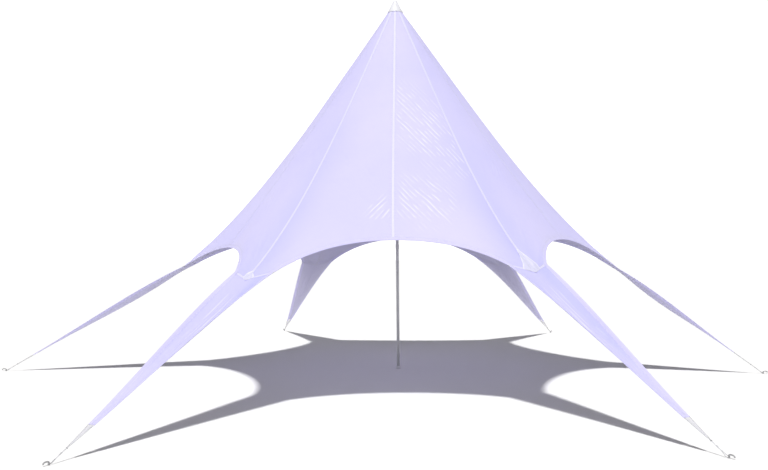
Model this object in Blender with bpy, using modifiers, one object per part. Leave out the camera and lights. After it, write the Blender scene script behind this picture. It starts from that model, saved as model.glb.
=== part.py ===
"""Star tent: six tapering arms, one central mast, sewn gores and hooked ground pegs.

The canopy is found as a stretched net: the ridges, the arched lower edges and the top ring
are set by the driving dimensions, and the fabric between them settles into balance.
"""
import math
from collections import namedtuple

import bmesh
import bpy
import numpy as np
from mathutils import Vector

# Arms in counterclockwise order. The canopy is cut even, and each arm is pegged out by hand:
# bearing of the ridge, bearing of the peg (degrees), mast axis to peg and to ridge joint (metres).
ARMS = {
    "right": (-3.0, -3.9, 5.50, 3.510),
    "back_right": (58.0, 57.5, 5.87, 3.510),
    "back_left": (121.0, 118.5, 6.14, 3.510),
    "left": (181.5, 182.8, 6.32, 3.510),
    "front_left": (241.5, 241.7, 6.14, 3.510),
    "front_right": (302.3, 303.3, 5.93, 3.375),
}
# Bays between one arm and the next, each with the height of its arch
BAYS = {
    "back_right_bay": 2.040,
    "back_bay": 2.110,
    "back_left_bay": 2.040,
    "front_left_bay": 1.965,
    "front_bay": 2.040,
    "front_right_bay": 2.040,
}

# Canopy
RING_RADIUS = 0.100
RING_HEIGHT = 5.730
RIDGE_TOP_SLOPE = 1.40
RIDGE_END_SLOPE = 0.70
NOMINAL_JOINT_RADIUS = 3.510
JOINT_HEIGHT = 1.560
JOINT_SLOPE = 0.655
NOMINAL_REACH = 6.000
JOINT_LIFT_PER_METRE = 0.120
CORNER_SETBACK = 0.150
CROWN_RADIUS = 2.754
ARCH_FULLNESS = 0.595
CANOPY_THICKNESS = 0.008
CANOPY_ROWS = 14
ARCH_COLUMNS = 6
SEAM_COLUMNS = 2

# Arms beyond the cross seam
ARM_HALF_WIDTH = 0.300
TIP_HALF_WIDTH = 0.036
ARM_TAPER = 1.1
DISH_DEPTH = 0.084
DISH_BALANCE = 0.6
ARM_ROWS = 9
TAB_LENGTH = 0.260
TAB_HALF_WIDTH = 0.008
TAB_ROWS = 2

# Edge cables, their clamps, and the hooked pegs
FREE_CABLE = 0.260
CABLE_RADIUS = 0.003
CABLE_HEIGHT = 0.0105
EYE_STACK = 0.0035
HEM_GAP = 0.0008
GATHER_RUN = 0.050
PARTING_RUN = 0.090
CLAMP_ROD_RADIUS = 0.003
PEG_RADIUS = 0.007
PEG_STEM = 0.022
PEG_HOOK_REACH = 0.060
PEG_HOOK_RISE = 0.014
PEG_HOOK_DROP = 0.006

# Mast
MAST_RADIUS = 0.024
MAST_WALL = 0.003
MAST_BREAKS = (1.950, 3.850)
MAST_TOP = 5.660
SPIGOT_LENGTH = 0.120
FOOT_RADIUS = 0.038
FOOT_CUP_RADIUS = 0.032
FOOT_HEIGHT = 0.048
FOOT_PLATE = 0.008
HEAD_STUD_RADIUS = 0.012
HEAD_HUB_RADIUS = 0.042
HEAD_FILLET = 0.020
HEAD_RIM = 0.006
CAP_RIM_RADIUS = 0.138
CAP_RIM_HEIGHT = 5.700
CAP_TOP = 5.904
CAP_ROUND = 0.042
CAP_WALL = 0.003

CLEARANCE = 0.0003
SEAM_GAP = 0.0002
TURN_STEPS = 24

FABRIC = ("canopy fabric", (0.86, 0.85, 0.95), 0.75, 0.0)
STEEL = ("galvanised steel", (0.42, 0.42, 0.44), 0.45, 1.0)
ALUMINIUM = ("mast aluminium", (0.48, 0.48, 0.50), 0.40, 1.0)
CAP_PLASTIC = ("cap plastic", (0.90, 0.90, 0.93), 0.50, 0.0)
FOOT_PLASTIC = ("foot plastic", (0.62, 0.61, 0.66), 0.55, 0.0)


def clear_scene():
    for item in list(bpy.data.objects):
        bpy.data.objects.remove(item, do_unlink=True)


def make_collection(name):
    collection = bpy.data.collections.new(name)
    bpy.context.scene.collection.children.link(collection)
    return collection


def make_material(name, colour, roughness, metallic):
    material = bpy.data.materials.get(name)
    if material is None:
        material = bpy.data.materials.new(name)
        material.use_nodes = True
        shader = material.node_tree.nodes["Principled BSDF"]
        shader.inputs["Base Color"].default_value = (*colour, 1.0)
        shader.inputs["Roughness"].default_value = roughness
        shader.inputs["Metallic"].default_value = metallic
        material.diffuse_color = (*colour, 1.0)
    return material


def add_part(name, data, finish, parts):
    part = bpy.data.objects.new(name, data)
    data.materials.append(make_material(*finish))
    parts.objects.link(part)
    return part


def out_from_mast(bearing):
    angle = math.radians(bearing)
    return np.array([math.cos(angle), math.sin(angle), 0.0])


def across(bearing):
    angle = math.radians(bearing)
    return np.array([-math.sin(angle), math.cos(angle), 0.0])


def up(height):
    return np.array([0.0, 0.0, height])


def unit(vectors):
    return vectors / np.linalg.norm(vectors, axis=-1, keepdims=True)


def bezier(points, share):
    """Point of a Bezier curve of any order, by repeated halving between its handles."""
    points = [np.asarray(point, dtype=float) for point in points]
    while len(points) > 1:
        points = [a + share * (b - a) for a, b in zip(points, points[1:])]
    return points[0]


Arm = namedtuple("Arm", "name bearing joint peg along side under length")


def lay_out_arm(name, bearing, peg_bearing, reach, joint_radius):
    """Frame of one arm: its ridge joint, its peg, and the slope between them."""
    height = JOINT_HEIGHT + JOINT_LIFT_PER_METRE * (reach - NOMINAL_REACH)
    height += JOINT_SLOPE * (NOMINAL_JOINT_RADIUS - joint_radius)
    joint = joint_radius * out_from_mast(bearing) + up(height)
    peg = reach * out_from_mast(peg_bearing)
    drop = peg + up(CABLE_HEIGHT) - joint
    along = unit(drop)
    side = unit(np.cross(np.array([0.0, 0.0, 1.0]), along))
    return Arm(name, bearing, joint, peg, along, side, unit(np.cross(side, along)), np.linalg.norm(drop))


def arm_point(arm, distance, sideways=0.0, lift=0.0):
    """Point on an arm: down its slope from the joint, to one side, and above its plane."""
    return arm.joint + distance * arm.along + sideways * arm.side - lift * arm.under


def seam_point(arm, side):
    """Point on the cross seam: side runs from -1 through 0 on the ridge to 1."""
    return arm_point(arm, -CORNER_SETBACK * abs(side), side * ARM_HALF_WIDTH)


def ridge_points(arm):
    """Ridge line from the top ring to the cross seam, sagging in its own upright plane."""
    outward = out_from_mast(arm.bearing)
    start = RING_RADIUS * outward + up(RING_HEIGHT)
    third = (np.linalg.norm(arm.joint[:2]) - RING_RADIUS) / 3.0
    leave = start + third * (outward - up(RIDGE_TOP_SLOPE))
    arrive = arm.joint - third * (outward - up(RIDGE_END_SLOPE))
    return [bezier((start, leave, arrive, arm.joint), row / CANOPY_ROWS) for row in range(CANOPY_ROWS + 1)]


def arch_points(crown_bearing, crown_height, corner, side):
    """Half of a bay's lower edge, from its crown out to an arm's corner."""
    crown = CROWN_RADIUS * out_from_mast(crown_bearing) + up(crown_height)
    reach_across = abs(np.dot(corner - crown, across(crown_bearing)))
    handle = crown + side * ARCH_FULLNESS * reach_across * across(crown_bearing)
    return [bezier((crown, handle, corner), column / ARCH_COLUMNS) for column in range(ARCH_COLUMNS + 1)]


def lower_edge(arm_a, arm_b, crown_bearing, crown_height):
    """Lower boundary of a bay: seam, arch, crown, arch, seam."""
    seam_a = [seam_point(arm_a, step / SEAM_COLUMNS) for step in range(SEAM_COLUMNS + 1)]
    seam_b = [seam_point(arm_b, -step / SEAM_COLUMNS) for step in range(SEAM_COLUMNS + 1)]
    arch_a = arch_points(crown_bearing, crown_height, seam_a[-1], -1)
    arch_b = arch_points(crown_bearing, crown_height, seam_b[-1], 1)
    return seam_a[:-1] + arch_a[::-1] + arch_b[1:] + seam_b[-2::-1]


def bay_net(name, arm_a, arm_b):
    """Grid of points over one bay, rows from the top ring down, columns from ridge to ridge."""
    spread = (arm_b.bearing - arm_a.bearing) % 360.0
    edge = lower_edge(arm_a, arm_b, arm_a.bearing + 0.5 * spread, BAYS[name])
    rows = CANOPY_ROWS + 1
    columns = len(edge)
    net = np.zeros((rows, columns, 3))
    for column in range(columns):
        bearing = arm_a.bearing + spread * column / (columns - 1)
        net[0, column] = RING_RADIUS * out_from_mast(bearing) + up(RING_HEIGHT)
    net[-1] = edge
    net[:, 0] = ridge_points(arm_a)
    net[:, -1] = ridge_points(arm_b)
    free = [(row, column) for row in range(1, rows - 1) for column in range(1, columns - 1)]
    place = {spot: index for index, spot in enumerate(free)}
    balance = np.zeros((len(free), len(free)))
    pull = np.zeros((len(free), 3))
    for (row, column), index in place.items():
        balance[index, index] = 4.0
        for spot in ((row - 1, column), (row + 1, column), (row, column - 1), (row, column + 1)):
            if spot in place:
                balance[index, place[spot]] = -1.0
            else:
                pull[index] += net[spot]
    settled = np.linalg.solve(balance, pull)
    for spot, index in place.items():
        net[spot] = settled[index]
    return net


def net_underside(net, arm_a, arm_b):
    """Inward unit vectors of a bay, shared with the neighbouring piece along each ridge and seam."""
    down = np.gradient(net, axis=0)
    inward = unit(np.cross(np.gradient(net, axis=1), down))
    for column, arm in ((0, arm_a), (-1, arm_b)):
        inward[:, column] = unit(np.cross(across(arm.bearing), down[:, column]))
        for step in range(SEAM_COLUMNS + 1):
            inward[-1, column - step if column else step] = arm.under
    return inward


def pull_back(points, rows=(), columns=()):
    """Draw the named border rows and columns back by the seam gap."""
    drawn = points.copy()
    for column, inner in columns:
        drawn[:, column] += SEAM_GAP * unit(points[:, inner] - points[:, column])
    for row, inner, span in rows:
        drawn[row, span] += SEAM_GAP * unit(points[inner, span] - points[row, span])
    return drawn


def fabric_panel(name, outer, inward, parts):
    """Closed sheet of fabric: a grid laid over the outer points, then extruded inward."""
    rows, columns = outer.shape[:2]
    sheet = bmesh.new()
    bmesh.ops.create_grid(sheet, x_segments=columns - 1, y_segments=rows - 1, size=0.5)
    drop = {}
    for vert in sheet.verts:
        column = round((vert.co.x + 0.5) * (columns - 1))
        row = round((0.5 - vert.co.y) * (rows - 1))
        vert.co = Vector(outer[row, column])
        drop[vert] = Vector(inward[row, column]) * CANOPY_THICKNESS
    grown = bmesh.ops.extrude_face_region(sheet, geom=sheet.faces[:], use_keep_orig=True)
    twins = [item for item in grown["geom"] if isinstance(item, bmesh.types.BMVert)]
    for twin in twins:
        source = min(drop, key=lambda vert: (vert.co - twin.co).length_squared)
        twin.co = twin.co + drop[source]
    bmesh.ops.recalc_face_normals(sheet, faces=sheet.faces)
    mesh = bpy.data.meshes.new(name)
    sheet.to_mesh(mesh)
    sheet.free()
    mesh.shade_smooth()
    mesh.set_sharp_from_angle(angle=math.radians(40))
    return add_part(name, mesh, FABRIC, parts)


def make_bay(name, arm_a, arm_b, parts):
    net = bay_net(name, arm_a, arm_b)
    inward = net_underside(net, arm_a, arm_b)
    middle = net.shape[1] // 2
    seam_a = range(0, SEAM_COLUMNS + 1)
    seam_b = range(middle - SEAM_COLUMNS, middle + 1)
    first = pull_back(net[:, :middle + 1], rows=[(-1, -2, seam_a)], columns=[(0, 1), (-1, -2)])
    second = pull_back(net[:, middle:], rows=[(-1, -2, seam_b)], columns=[(0, 1), (-1, -2)])
    fabric_panel(name + "_gore_1", first, inward[:, :middle + 1], parts)
    fabric_panel(name + "_gore_2", second, inward[:, middle:], parts)


def arm_net(arm):
    """Grid of points over one arm and its tab, rows from the cross seam down, columns across it."""
    sides = [step / SEAM_COLUMNS for step in range(-SEAM_COLUMNS, SEAM_COLUMNS + 1)]
    tip = arm.length - FREE_CABLE - TAB_LENGTH
    net = np.zeros((ARM_ROWS + 1 + TAB_ROWS, len(sides), 3))
    for row in range(ARM_ROWS + 1):
        share = row / ARM_ROWS
        half = TIP_HALF_WIDTH + (ARM_HALF_WIDTH - TIP_HALF_WIDTH) * (1.0 - share) ** ARM_TAPER
        dish = DISH_DEPTH * 6.75 * share * (1.0 - share) ** 2
        for column, side in enumerate(sides):
            start = -CORNER_SETBACK * abs(side)
            distance = start + (tip - start) * share
            net[row, column] = arm_point(arm, distance, side * half, dish * (side ** 2 - DISH_BALANCE))
    for row in range(1, TAB_ROWS + 1):
        share = row / TAB_ROWS
        half = TIP_HALF_WIDTH + (TAB_HALF_WIDTH - TIP_HALF_WIDTH) * share
        for column, side in enumerate(sides):
            net[ARM_ROWS + row, column] = arm_point(arm, tip + TAB_LENGTH * share, side * half)
    return net


def make_arm(arm, parts):
    """Tapering strip from the cross seam to its tab, dished between its two edge cables."""
    net = arm_net(arm)
    outer = pull_back(net, rows=[(0, 1, range(net.shape[1]))])
    fabric_panel(arm.name + "_arm", outer, np.broadcast_to(arm.under, outer.shape), parts)


def rod(name, points, radius, finish, parts, resolution=2, ring=False):
    curve = bpy.data.curves.new(name, "CURVE")
    curve.dimensions = "3D"
    curve.bevel_depth = radius
    curve.bevel_resolution = resolution
    curve.use_fill_caps = True
    spline = curve.splines.new("POLY")
    spline.points.add(len(points) - 1)
    spline.use_cyclic_u = ring
    for target, point in zip(spline.points, points):
        target.co = (*point, 1.0)
    return add_part(name, curve, finish, parts)


def beside_edge(edge, inner, under):
    """Line that follows an edge of the fabric, one cable radius outside it, at half its thickness."""
    steps = unit(np.diff(edge, axis=0))
    before = np.vstack([steps[:1], steps])
    after = np.vstack([steps, steps[-1:]])
    along = unit(before + after)
    outward = unit(np.cross(along, under))
    outward *= np.sign(np.sum(outward * (edge - inner), axis=1, keepdims=True))
    spread = 1.0 / np.sum(along * after, axis=1, keepdims=True)
    return edge + 0.5 * CANOPY_THICKNESS * under + (CABLE_RADIUS + HEM_GAP) * spread * outward


def peg_eye(arm, side):
    """Turn of an edge cable round its peg, from the arm's side round the back of the rod."""
    outward = unit(arm.along * np.array([1.0, 1.0, 0.0]))
    hub = arm.peg + up(CABLE_HEIGHT + side * EYE_STACK)
    turn = PEG_RADIUS + CABLE_RADIUS + CLEARANCE
    points = []
    for step in range(7):
        angle = math.radians(90.0 - 22.5 * step)
        points.append(hub + turn * (math.cos(angle) * outward + side * math.sin(angle) * arm.side))
    return points


def gathered_point(arm, distance, sideways):
    """Point on an arm's line at the depth where its cables run."""
    return arm_point(arm, distance, sideways, -0.5 * CANOPY_THICKNESS)


def gathered_run(arm, side):
    """The stretch of an edge cable that lies beside its twin, from the clamp to where they part."""
    clamp = arm.length - FREE_CABLE + GATHER_RUN
    sideways = side * (CABLE_RADIUS + CLEARANCE)
    stops = (clamp - 0.2 * GATHER_RUN, clamp + 0.2 * GATHER_RUN, arm.length - PARTING_RUN)
    return [gathered_point(arm, stop, sideways) for stop in stops]


def make_edge_cable(name, arm_a, arm_b, parts):
    """One cable for each bay: peg, clamp, arm edge, arch, arm edge, clamp, peg."""
    net = bay_net(name, arm_a, arm_b)
    net_a = arm_net(arm_a)[::-1]
    net_b = arm_net(arm_b)
    arch = slice(SEAM_COLUMNS + 1, net.shape[1] - SEAM_COLUMNS - 1)
    edge = np.vstack([net_a[:, -1], net[-1, arch], net_b[:, 0]])
    inner = np.vstack([net_a[:, -2], net[-2, arch], net_b[:, 1]])
    under = np.vstack([np.broadcast_to(arm_a.under, net_a[:, -1].shape),
                       net_underside(net, arm_a, arm_b)[-1, arch],
                       np.broadcast_to(arm_b.under, net_b[:, 0].shape)])
    route = peg_eye(arm_a, 1)[::-1] + gathered_run(arm_a, 1)[::-1]
    route += list(beside_edge(edge, inner, under))
    route += gathered_run(arm_b, -1) + peg_eye(arm_b, -1)
    rod(name + "_edge_cable", route, CABLE_RADIUS, STEEL, parts)


def make_clamp(arm, parts):
    """Oval ring that gathers the two edge cables of an arm below its tab."""
    centre = arm.length - FREE_CABLE + GATHER_RUN
    straight = CABLE_RADIUS + CLEARANCE
    turn = CABLE_RADIUS + CLEARANCE + CLAMP_ROD_RADIUS
    points = []
    for side, first in ((1, -90.0), (-1, 90.0)):
        for step in range(7):
            angle = math.radians(first + 30.0 * step)
            sideways = side * straight + turn * math.cos(angle)
            points.append(gathered_point(arm, centre, sideways) - turn * math.sin(angle) * arm.under)
    rod(arm.name + "_clamp", points, CLAMP_ROD_RADIUS, STEEL, parts, ring=True)


def make_peg(arm, parts):
    """Bent rod standing in the ground, with a low hook away from the tent."""
    outward = unit(arm.along * np.array([1.0, 1.0, 0.0]))
    half = 0.5 * PEG_HOOK_REACH
    route = [(0.0, 0.0), (0.0, PEG_STEM)]
    for step in range(1, 9):
        angle = math.radians(180.0 - 22.5 * step)
        route.append((half * (1.0 + math.cos(angle)), PEG_STEM + PEG_HOOK_RISE * math.sin(angle)))
    route.append((PEG_HOOK_REACH, PEG_STEM - PEG_HOOK_DROP))
    points = [arm.peg + distance * outward + up(height) for distance, height in route]
    rod(arm.name + "_peg", points, PEG_RADIUS, STEEL, parts, resolution=4)


def turned(name, profile, finish, parts, closed=False):
    """Piece turned about the mast axis; the profile runs down its outer side."""
    mesh = bpy.data.meshes.new(name)
    count = len(profile)
    edges = [(index, index + 1) for index in range(count - 1)]
    if closed:
        edges.append((count - 1, 0))
    mesh.from_pydata([(radius, 0.0, height) for radius, height in profile], edges, [])
    part = add_part(name, mesh, finish, parts)
    screw = part.modifiers.new("turn", "SCREW")
    screw.steps = TURN_STEPS
    screw.render_steps = TURN_STEPS
    screw.use_merge_vertices = True
    screw.merge_threshold = 0.00005
    screw.use_smooth_shade = True
    return part


def make_mast(parts):
    inner = MAST_RADIUS - MAST_WALL
    spigot = inner - CLEARANCE
    core = spigot - MAST_WALL
    levels = (FOOT_PLATE, *MAST_BREAKS, MAST_TOP)
    for index, name in enumerate(("mast_lower", "mast_middle", "mast_upper")):
        low = levels[index]
        high = levels[index + 1] - CLEARANCE
        profile = [(MAST_RADIUS, high), (MAST_RADIUS, low)]
        if index > 0:
            profile += [(spigot, low), (spigot, low - SPIGOT_LENGTH), (core, low - SPIGOT_LENGTH)]
            profile += [(core, low + MAST_WALL), (inner, low + 2.0 * MAST_WALL), (inner, high)]
        else:
            profile += [(inner, low), (inner, high)]
        turned(name, profile, ALUMINIUM, parts, closed=True)
    bore = MAST_RADIUS + CLEARANCE
    plate = FOOT_PLATE - CLEARANCE
    profile = [(0.0, plate), (bore, plate), (bore, FOOT_HEIGHT), (FOOT_CUP_RADIUS, FOOT_HEIGHT)]
    profile += [(FOOT_CUP_RADIUS, 1.5 * FOOT_PLATE), (FOOT_RADIUS, 0.75 * FOOT_PLATE)]
    profile += [(FOOT_RADIUS, 0.0), (0.0, 0.0)]
    turned("mast_foot", profile, FOOT_PLASTIC, parts)


def make_peak(parts):
    """Head disc that carries the canopy's ring, and the cap that keeps rain out."""
    inner = MAST_RADIUS - MAST_WALL - CLEARANCE
    fall = CANOPY_THICKNESS / math.hypot(1.0, RIDGE_TOP_SLOPE)
    seat_radius = RING_RADIUS - RIDGE_TOP_SLOPE * fall - HEM_GAP
    seat_height = RING_HEIGHT - fall
    cap_seat = CAP_TOP - 4.0 * CAP_WALL
    stud_top = cap_seat - CLEARANCE
    profile = [(0.0, stud_top), (HEAD_STUD_RADIUS, stud_top), (HEAD_STUD_RADIUS, seat_height + HEAD_FILLET)]
    profile += [(HEAD_HUB_RADIUS, seat_height + 0.2 * HEAD_FILLET), (seat_radius, seat_height)]
    profile += [(seat_radius, seat_height - HEAD_RIM), (HEAD_HUB_RADIUS, MAST_TOP + 2.0 * HEAD_RIM)]
    profile += [(MAST_RADIUS, MAST_TOP), (inner, MAST_TOP)]
    profile += [(inner, MAST_TOP - SPIGOT_LENGTH), (0.0, MAST_TOP - SPIGOT_LENGTH)]
    turned("mast_head", profile, ALUMINIUM, parts)
    outer = [(0.0, CAP_TOP)]
    for step in range(1, 4):
        angle = math.radians(60.0 * step / 3.0)
        outer.append((CAP_ROUND * math.sin(angle), CAP_TOP - CAP_ROUND * (1.0 - math.cos(angle))))
    outer.append((CAP_RIM_RADIUS, CAP_RIM_HEIGHT))
    inside = [(CAP_RIM_RADIUS - 0.6 * CAP_WALL, CAP_RIM_HEIGHT - CAP_WALL)]
    inside += [(radius - 0.6 * CAP_WALL, height - 2.0 * CAP_WALL) for radius, height in outer[3:1:-1]]
    inside += [(HEAD_STUD_RADIUS + 0.002, cap_seat), (0.0, cap_seat)]
    turned("peak_cap", outer + inside, CAP_PLASTIC, parts)


def main():
    clear_scene()
    parts = make_collection("star_tent")
    arms = [lay_out_arm(name, *place) for name, place in ARMS.items()]
    for bay, arm_a, arm_b in zip(BAYS, arms, arms[1:] + arms[:1]):
        make_bay(bay, arm_a, arm_b, parts)
        make_edge_cable(bay, arm_a, arm_b, parts)
    for arm in arms:
        make_arm(arm, parts)
        make_clamp(arm, parts)
        make_peg(arm, parts)
    make_mast(parts)
    make_peak(parts)


main()
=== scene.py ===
import math
from collections import namedtuple

import bpy
import numpy as np
from mathutils import Matrix, Vector


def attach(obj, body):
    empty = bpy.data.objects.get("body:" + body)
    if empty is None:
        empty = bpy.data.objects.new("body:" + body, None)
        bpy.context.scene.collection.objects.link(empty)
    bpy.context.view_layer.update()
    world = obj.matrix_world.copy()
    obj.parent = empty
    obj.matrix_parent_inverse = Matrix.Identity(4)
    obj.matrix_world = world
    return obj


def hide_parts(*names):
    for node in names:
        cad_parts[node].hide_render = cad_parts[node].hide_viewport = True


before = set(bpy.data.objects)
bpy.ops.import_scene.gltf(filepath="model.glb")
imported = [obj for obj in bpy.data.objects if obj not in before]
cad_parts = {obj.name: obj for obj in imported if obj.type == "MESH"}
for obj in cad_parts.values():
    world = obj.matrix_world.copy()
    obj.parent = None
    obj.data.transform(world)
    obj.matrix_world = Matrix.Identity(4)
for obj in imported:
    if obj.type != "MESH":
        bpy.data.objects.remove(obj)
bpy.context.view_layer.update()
print("frame loaded:", len(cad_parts), "CAD nodes")


# Node helpers

def newMaterial(name):
    material = bpy.data.materials.new(name)
    material.use_nodes = True
    return material, material.node_tree, material.node_tree.nodes["Principled BSDF"]


def addNode(tree, kind, inputs=None, **settings):
    made = tree.nodes.new(kind)
    for key, value in settings.items():
        setattr(made, key, value)
    for key, value in (inputs or {}).items():
        if isinstance(value, bpy.types.NodeSocket):
            tree.links.new(value, made.inputs[key])
        else:
            made.inputs[key].default_value = value
    return made


def calc(tree, operation, first, second=0.5, third=0.5):
    return addNode(tree, "ShaderNodeMath", {0: first, 1: second, 2: third}, operation=operation).outputs[0]


def rescale(tree, value, fromLow, fromHigh, toLow, toHigh):
    settings = {"Value": value, "From Min": fromLow, "From Max": fromHigh, "To Min": toLow, "To Max": toHigh}
    return addNode(tree, "ShaderNodeMapRange", settings).outputs["Result"]


def blendColours(tree, factor, first, second):
    first, second = ((*c, 1.0) if isinstance(c, tuple) else c for c in (first, second))
    mixed = addNode(tree, "ShaderNodeMix", {0: factor, 6: first, 7: second}, data_type="RGBA")
    return mixed.outputs[2]


def readField(tree, name):
    return addNode(tree, "ShaderNodeAttribute", attribute_name=name).outputs["Fac"]


def noise(tree, vector, scale, detail=3.0, roughness=0.55):
    settings = {"Vector": vector, "Scale": scale, "Detail": detail, "Roughness": roughness}
    return addNode(tree, "ShaderNodeTexNoise", settings).outputs["Fac"]


def stretchVector(tree, vector, factors):
    return addNode(tree, "ShaderNodeVectorMath", {0: vector, 1: factors}, operation="MULTIPLY").outputs[0]


def objectPlace(tree):
    return addNode(tree, "ShaderNodeTexCoord").outputs["Object"]


def clothPlace(tree, name="cloth"):
    return addNode(tree, "ShaderNodeUVMap", uv_map=name).outputs["UV"]


def addBump(tree, height, distance, normal=None, strength=1.0):
    settings = {"Height": height, "Distance": distance, "Strength": strength}
    if normal is not None:
        settings["Normal"] = normal
    return addNode(tree, "ShaderNodeBump", settings).outputs["Normal"]


def wovenHeight(tree, place, pitch):
    split = addNode(tree, "ShaderNodeSeparateXYZ", {0: stretchVector(tree, place, (math.tau / pitch,) * 3)})
    over = calc(tree, "SINE", split.outputs[0])
    under = calc(tree, "SINE", split.outputs[1])
    return calc(tree, "MULTIPLY", over, under)


def feedShader(tree, shader, colour, normal, roughness):
    tree.links.new(colour, shader.inputs["Base Color"])
    tree.links.new(normal, shader.inputs["Normal"])
    if isinstance(roughness, float):
        shader.inputs["Roughness"].default_value = roughness
    else:
        tree.links.new(roughness, shader.inputs["Roughness"])


# Camera and studio

view = {
    "place": (0.600, -12.054, 1.965),
    "yaw": 3.85,  # degrees, to the left of +Y
    "pitch": 0.81,
    "roll": -0.5,
    "focal": 35.34,
    "sensor": 36.0,
}

studio = {
    "floorRadius": 90.0,
    "floorColour": (0.910, 0.905, 0.895),
    "domeColour": (1.0, 1.0, 1.0),
    "domeStrength": 0.15,
    "sideStrength": 1.25,  # soft light from far left and far right
    "sideStart": 0.72,  # how far to a side it begins, as the side part of a direction
    "domeSeen": 1.25,  # brightness of the backdrop where the camera sees it
    "keyStrength": 3.15,
    "keySoftness": 4.0,  # degrees
    "keyTilt": (21.0, 2.0),  # degrees from straight overhead, to the front and to the left
}


def placeCamera():
    yaw, pitch, roll = (math.radians(view[turn]) for turn in ("yaw", "pitch", "roll"))
    forward = Vector((-math.sin(yaw) * math.cos(pitch), math.cos(yaw) * math.cos(pitch), math.sin(pitch)))
    level = Vector((math.cos(yaw), math.sin(yaw), 0.0))
    upright = level.cross(forward)
    right = math.cos(roll) * level + math.sin(roll) * upright
    top = math.cos(roll) * upright - math.sin(roll) * level
    lens = bpy.data.cameras.new("photoCamera")
    lens.sensor_fit = "HORIZONTAL"
    lens.sensor_width = view["sensor"]
    lens.lens = view["focal"]
    lens.clip_end = 400.0
    lens.dof.use_dof = False
    camera = bpy.data.objects.new("photoCamera", lens)
    turn = Matrix((right, top, -forward)).transposed().to_4x4()
    camera.matrix_world = Matrix.Translation(view["place"]) @ turn
    bpy.context.scene.collection.objects.link(camera)
    bpy.context.scene.camera = camera


def lightStudio():
    world = bpy.data.worlds.new("paleStudio")
    world.use_nodes = True
    tree = world.node_tree
    background = tree.nodes["Background"]
    background.inputs["Color"].default_value = (*studio["domeColour"], 1.0)
    direction = addNode(tree, "ShaderNodeTexCoord").outputs["Generated"]
    sideways = calc(tree, "ABSOLUTE", addNode(tree, "ShaderNodeSeparateXYZ", {0: direction}).outputs[0])
    faint, strong = studio["domeStrength"], studio["domeStrength"] + studio["sideStrength"]
    sides = rescale(tree, sideways, studio["sideStart"], 1.0, faint, strong)
    seen = addNode(tree, "ShaderNodeLightPath").outputs["Is Camera Ray"]
    strength = rescale(tree, seen, 0.0, 1.0, sides, studio["domeSeen"])
    tree.links.new(strength, background.inputs["Strength"])
    bpy.context.scene.world = world
    lamp = bpy.data.lights.new("keyLight", "SUN")
    lamp.energy = studio["keyStrength"]
    lamp.angle = math.radians(studio["keySoftness"])
    key = bpy.data.objects.new("keyLight", lamp)
    front, left = (math.radians(tilt) for tilt in studio["keyTilt"])
    source = Vector((-math.tan(left), -math.tan(front), 1.0))
    key.rotation_euler = source.to_track_quat("Z", "Y").to_euler()
    bpy.context.scene.collection.objects.link(key)
    bpy.context.scene.view_settings.view_transform = "Standard"


placeCamera()
lightStudio()
print("camera and lights placed")


# Materials

fabricFinish = {
    "outer": (0.600, 0.575, 0.890),
    "warm": (0.630, 0.598, 0.885),
    "paintedShadeColour": (0.510, 0.505, 0.920),  # painted shade, bluer and darker beside the ridges and over the arms
    # painted shade: the underside gets a darker, greyer copy of the cloth colour
    "inner": (0.580, 0.560, 0.785),
    "worn": (0.560, 0.550, 0.640),
    # painted highlight on the crease lines and painted shade beside them
    "creaseHighlight": (0.860, 0.850, 0.985),
    "creaseShade": (0.540, 0.515, 0.720),
    "creasePitch": 0.058,
    "highlightShare": 0.58,
    "creaseShadeShare": 0.34,
    "drift": 9.0,  # how far the crease lines wander
    "driftStretch": (2.2, 1.6, 1.0),
    "breakStretch": (8.5, 4.6, 1.0),  # how often they are broken off
    "weavePitch": 0.0018,
    "weaveDepth": 0.00010,
    "crumpleDepth": 0.010,
    "creaseDepth": 0.0022,
    "puckerPitch": 0.046,
    "puckerDepth": 0.0022,
    "wornShare": 0.40,
    "roughness": 0.66,
    "sheen": 0.12,
    "specular": 0.35,
}

tapeFinish = {
    "centre": (0.690, 0.670, 0.935),
    # darker towards the tape's edges: painted shade along the raised edge, and grime
    "edge": (0.500, 0.490, 0.600),
    "matchedEdge": (0.610, 0.595, 0.840),
    "corner": (0.640, 0.630, 0.810),
    "cornerEdge": (0.880, 0.870, 0.980),
    "weavePitch": 0.0022,
    "weaveDepth": 0.00012,
    "roughness": 0.58,
    "sheen": 0.10,
}

webFinish = {"pale": (0.920, 0.910, 0.960), "dark": (0.780, 0.770, 0.830), "rib": 0.0032, "depth": 0.0006,
             "roughness": 0.72, "sheen": 0.25}
threadFinish = {"colour": (0.860, 0.850, 0.920), "dark": (0.680, 0.670, 0.740), "roughness": 0.5}
ropeFinish = {"bright": (0.560, 0.560, 0.580), "dull": (0.300, 0.300, 0.320), "roughness": 0.46,
              "grain": (300.0, 300.0, 300.0)}
pegFinish = {"bright": (0.520, 0.520, 0.535), "dull": (0.280, 0.276, 0.280), "roughness": 0.50,
             "grain": (120.0, 120.0, 60.0), "soil": (0.105, 0.088, 0.070)}
mastFinish = {"bright": (0.560, 0.560, 0.585), "dull": (0.360, 0.360, 0.385), "roughness": 0.38,
              "grain": (400.0, 400.0, 6.0)}
capFinish = {"clean": (0.800, 0.800, 0.845), "worn": (0.600, 0.600, 0.640), "roughness": 0.42}
footFinish = {"clean": (0.700, 0.695, 0.730), "worn": (0.450, 0.440, 0.450), "roughness": 0.56}


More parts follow.
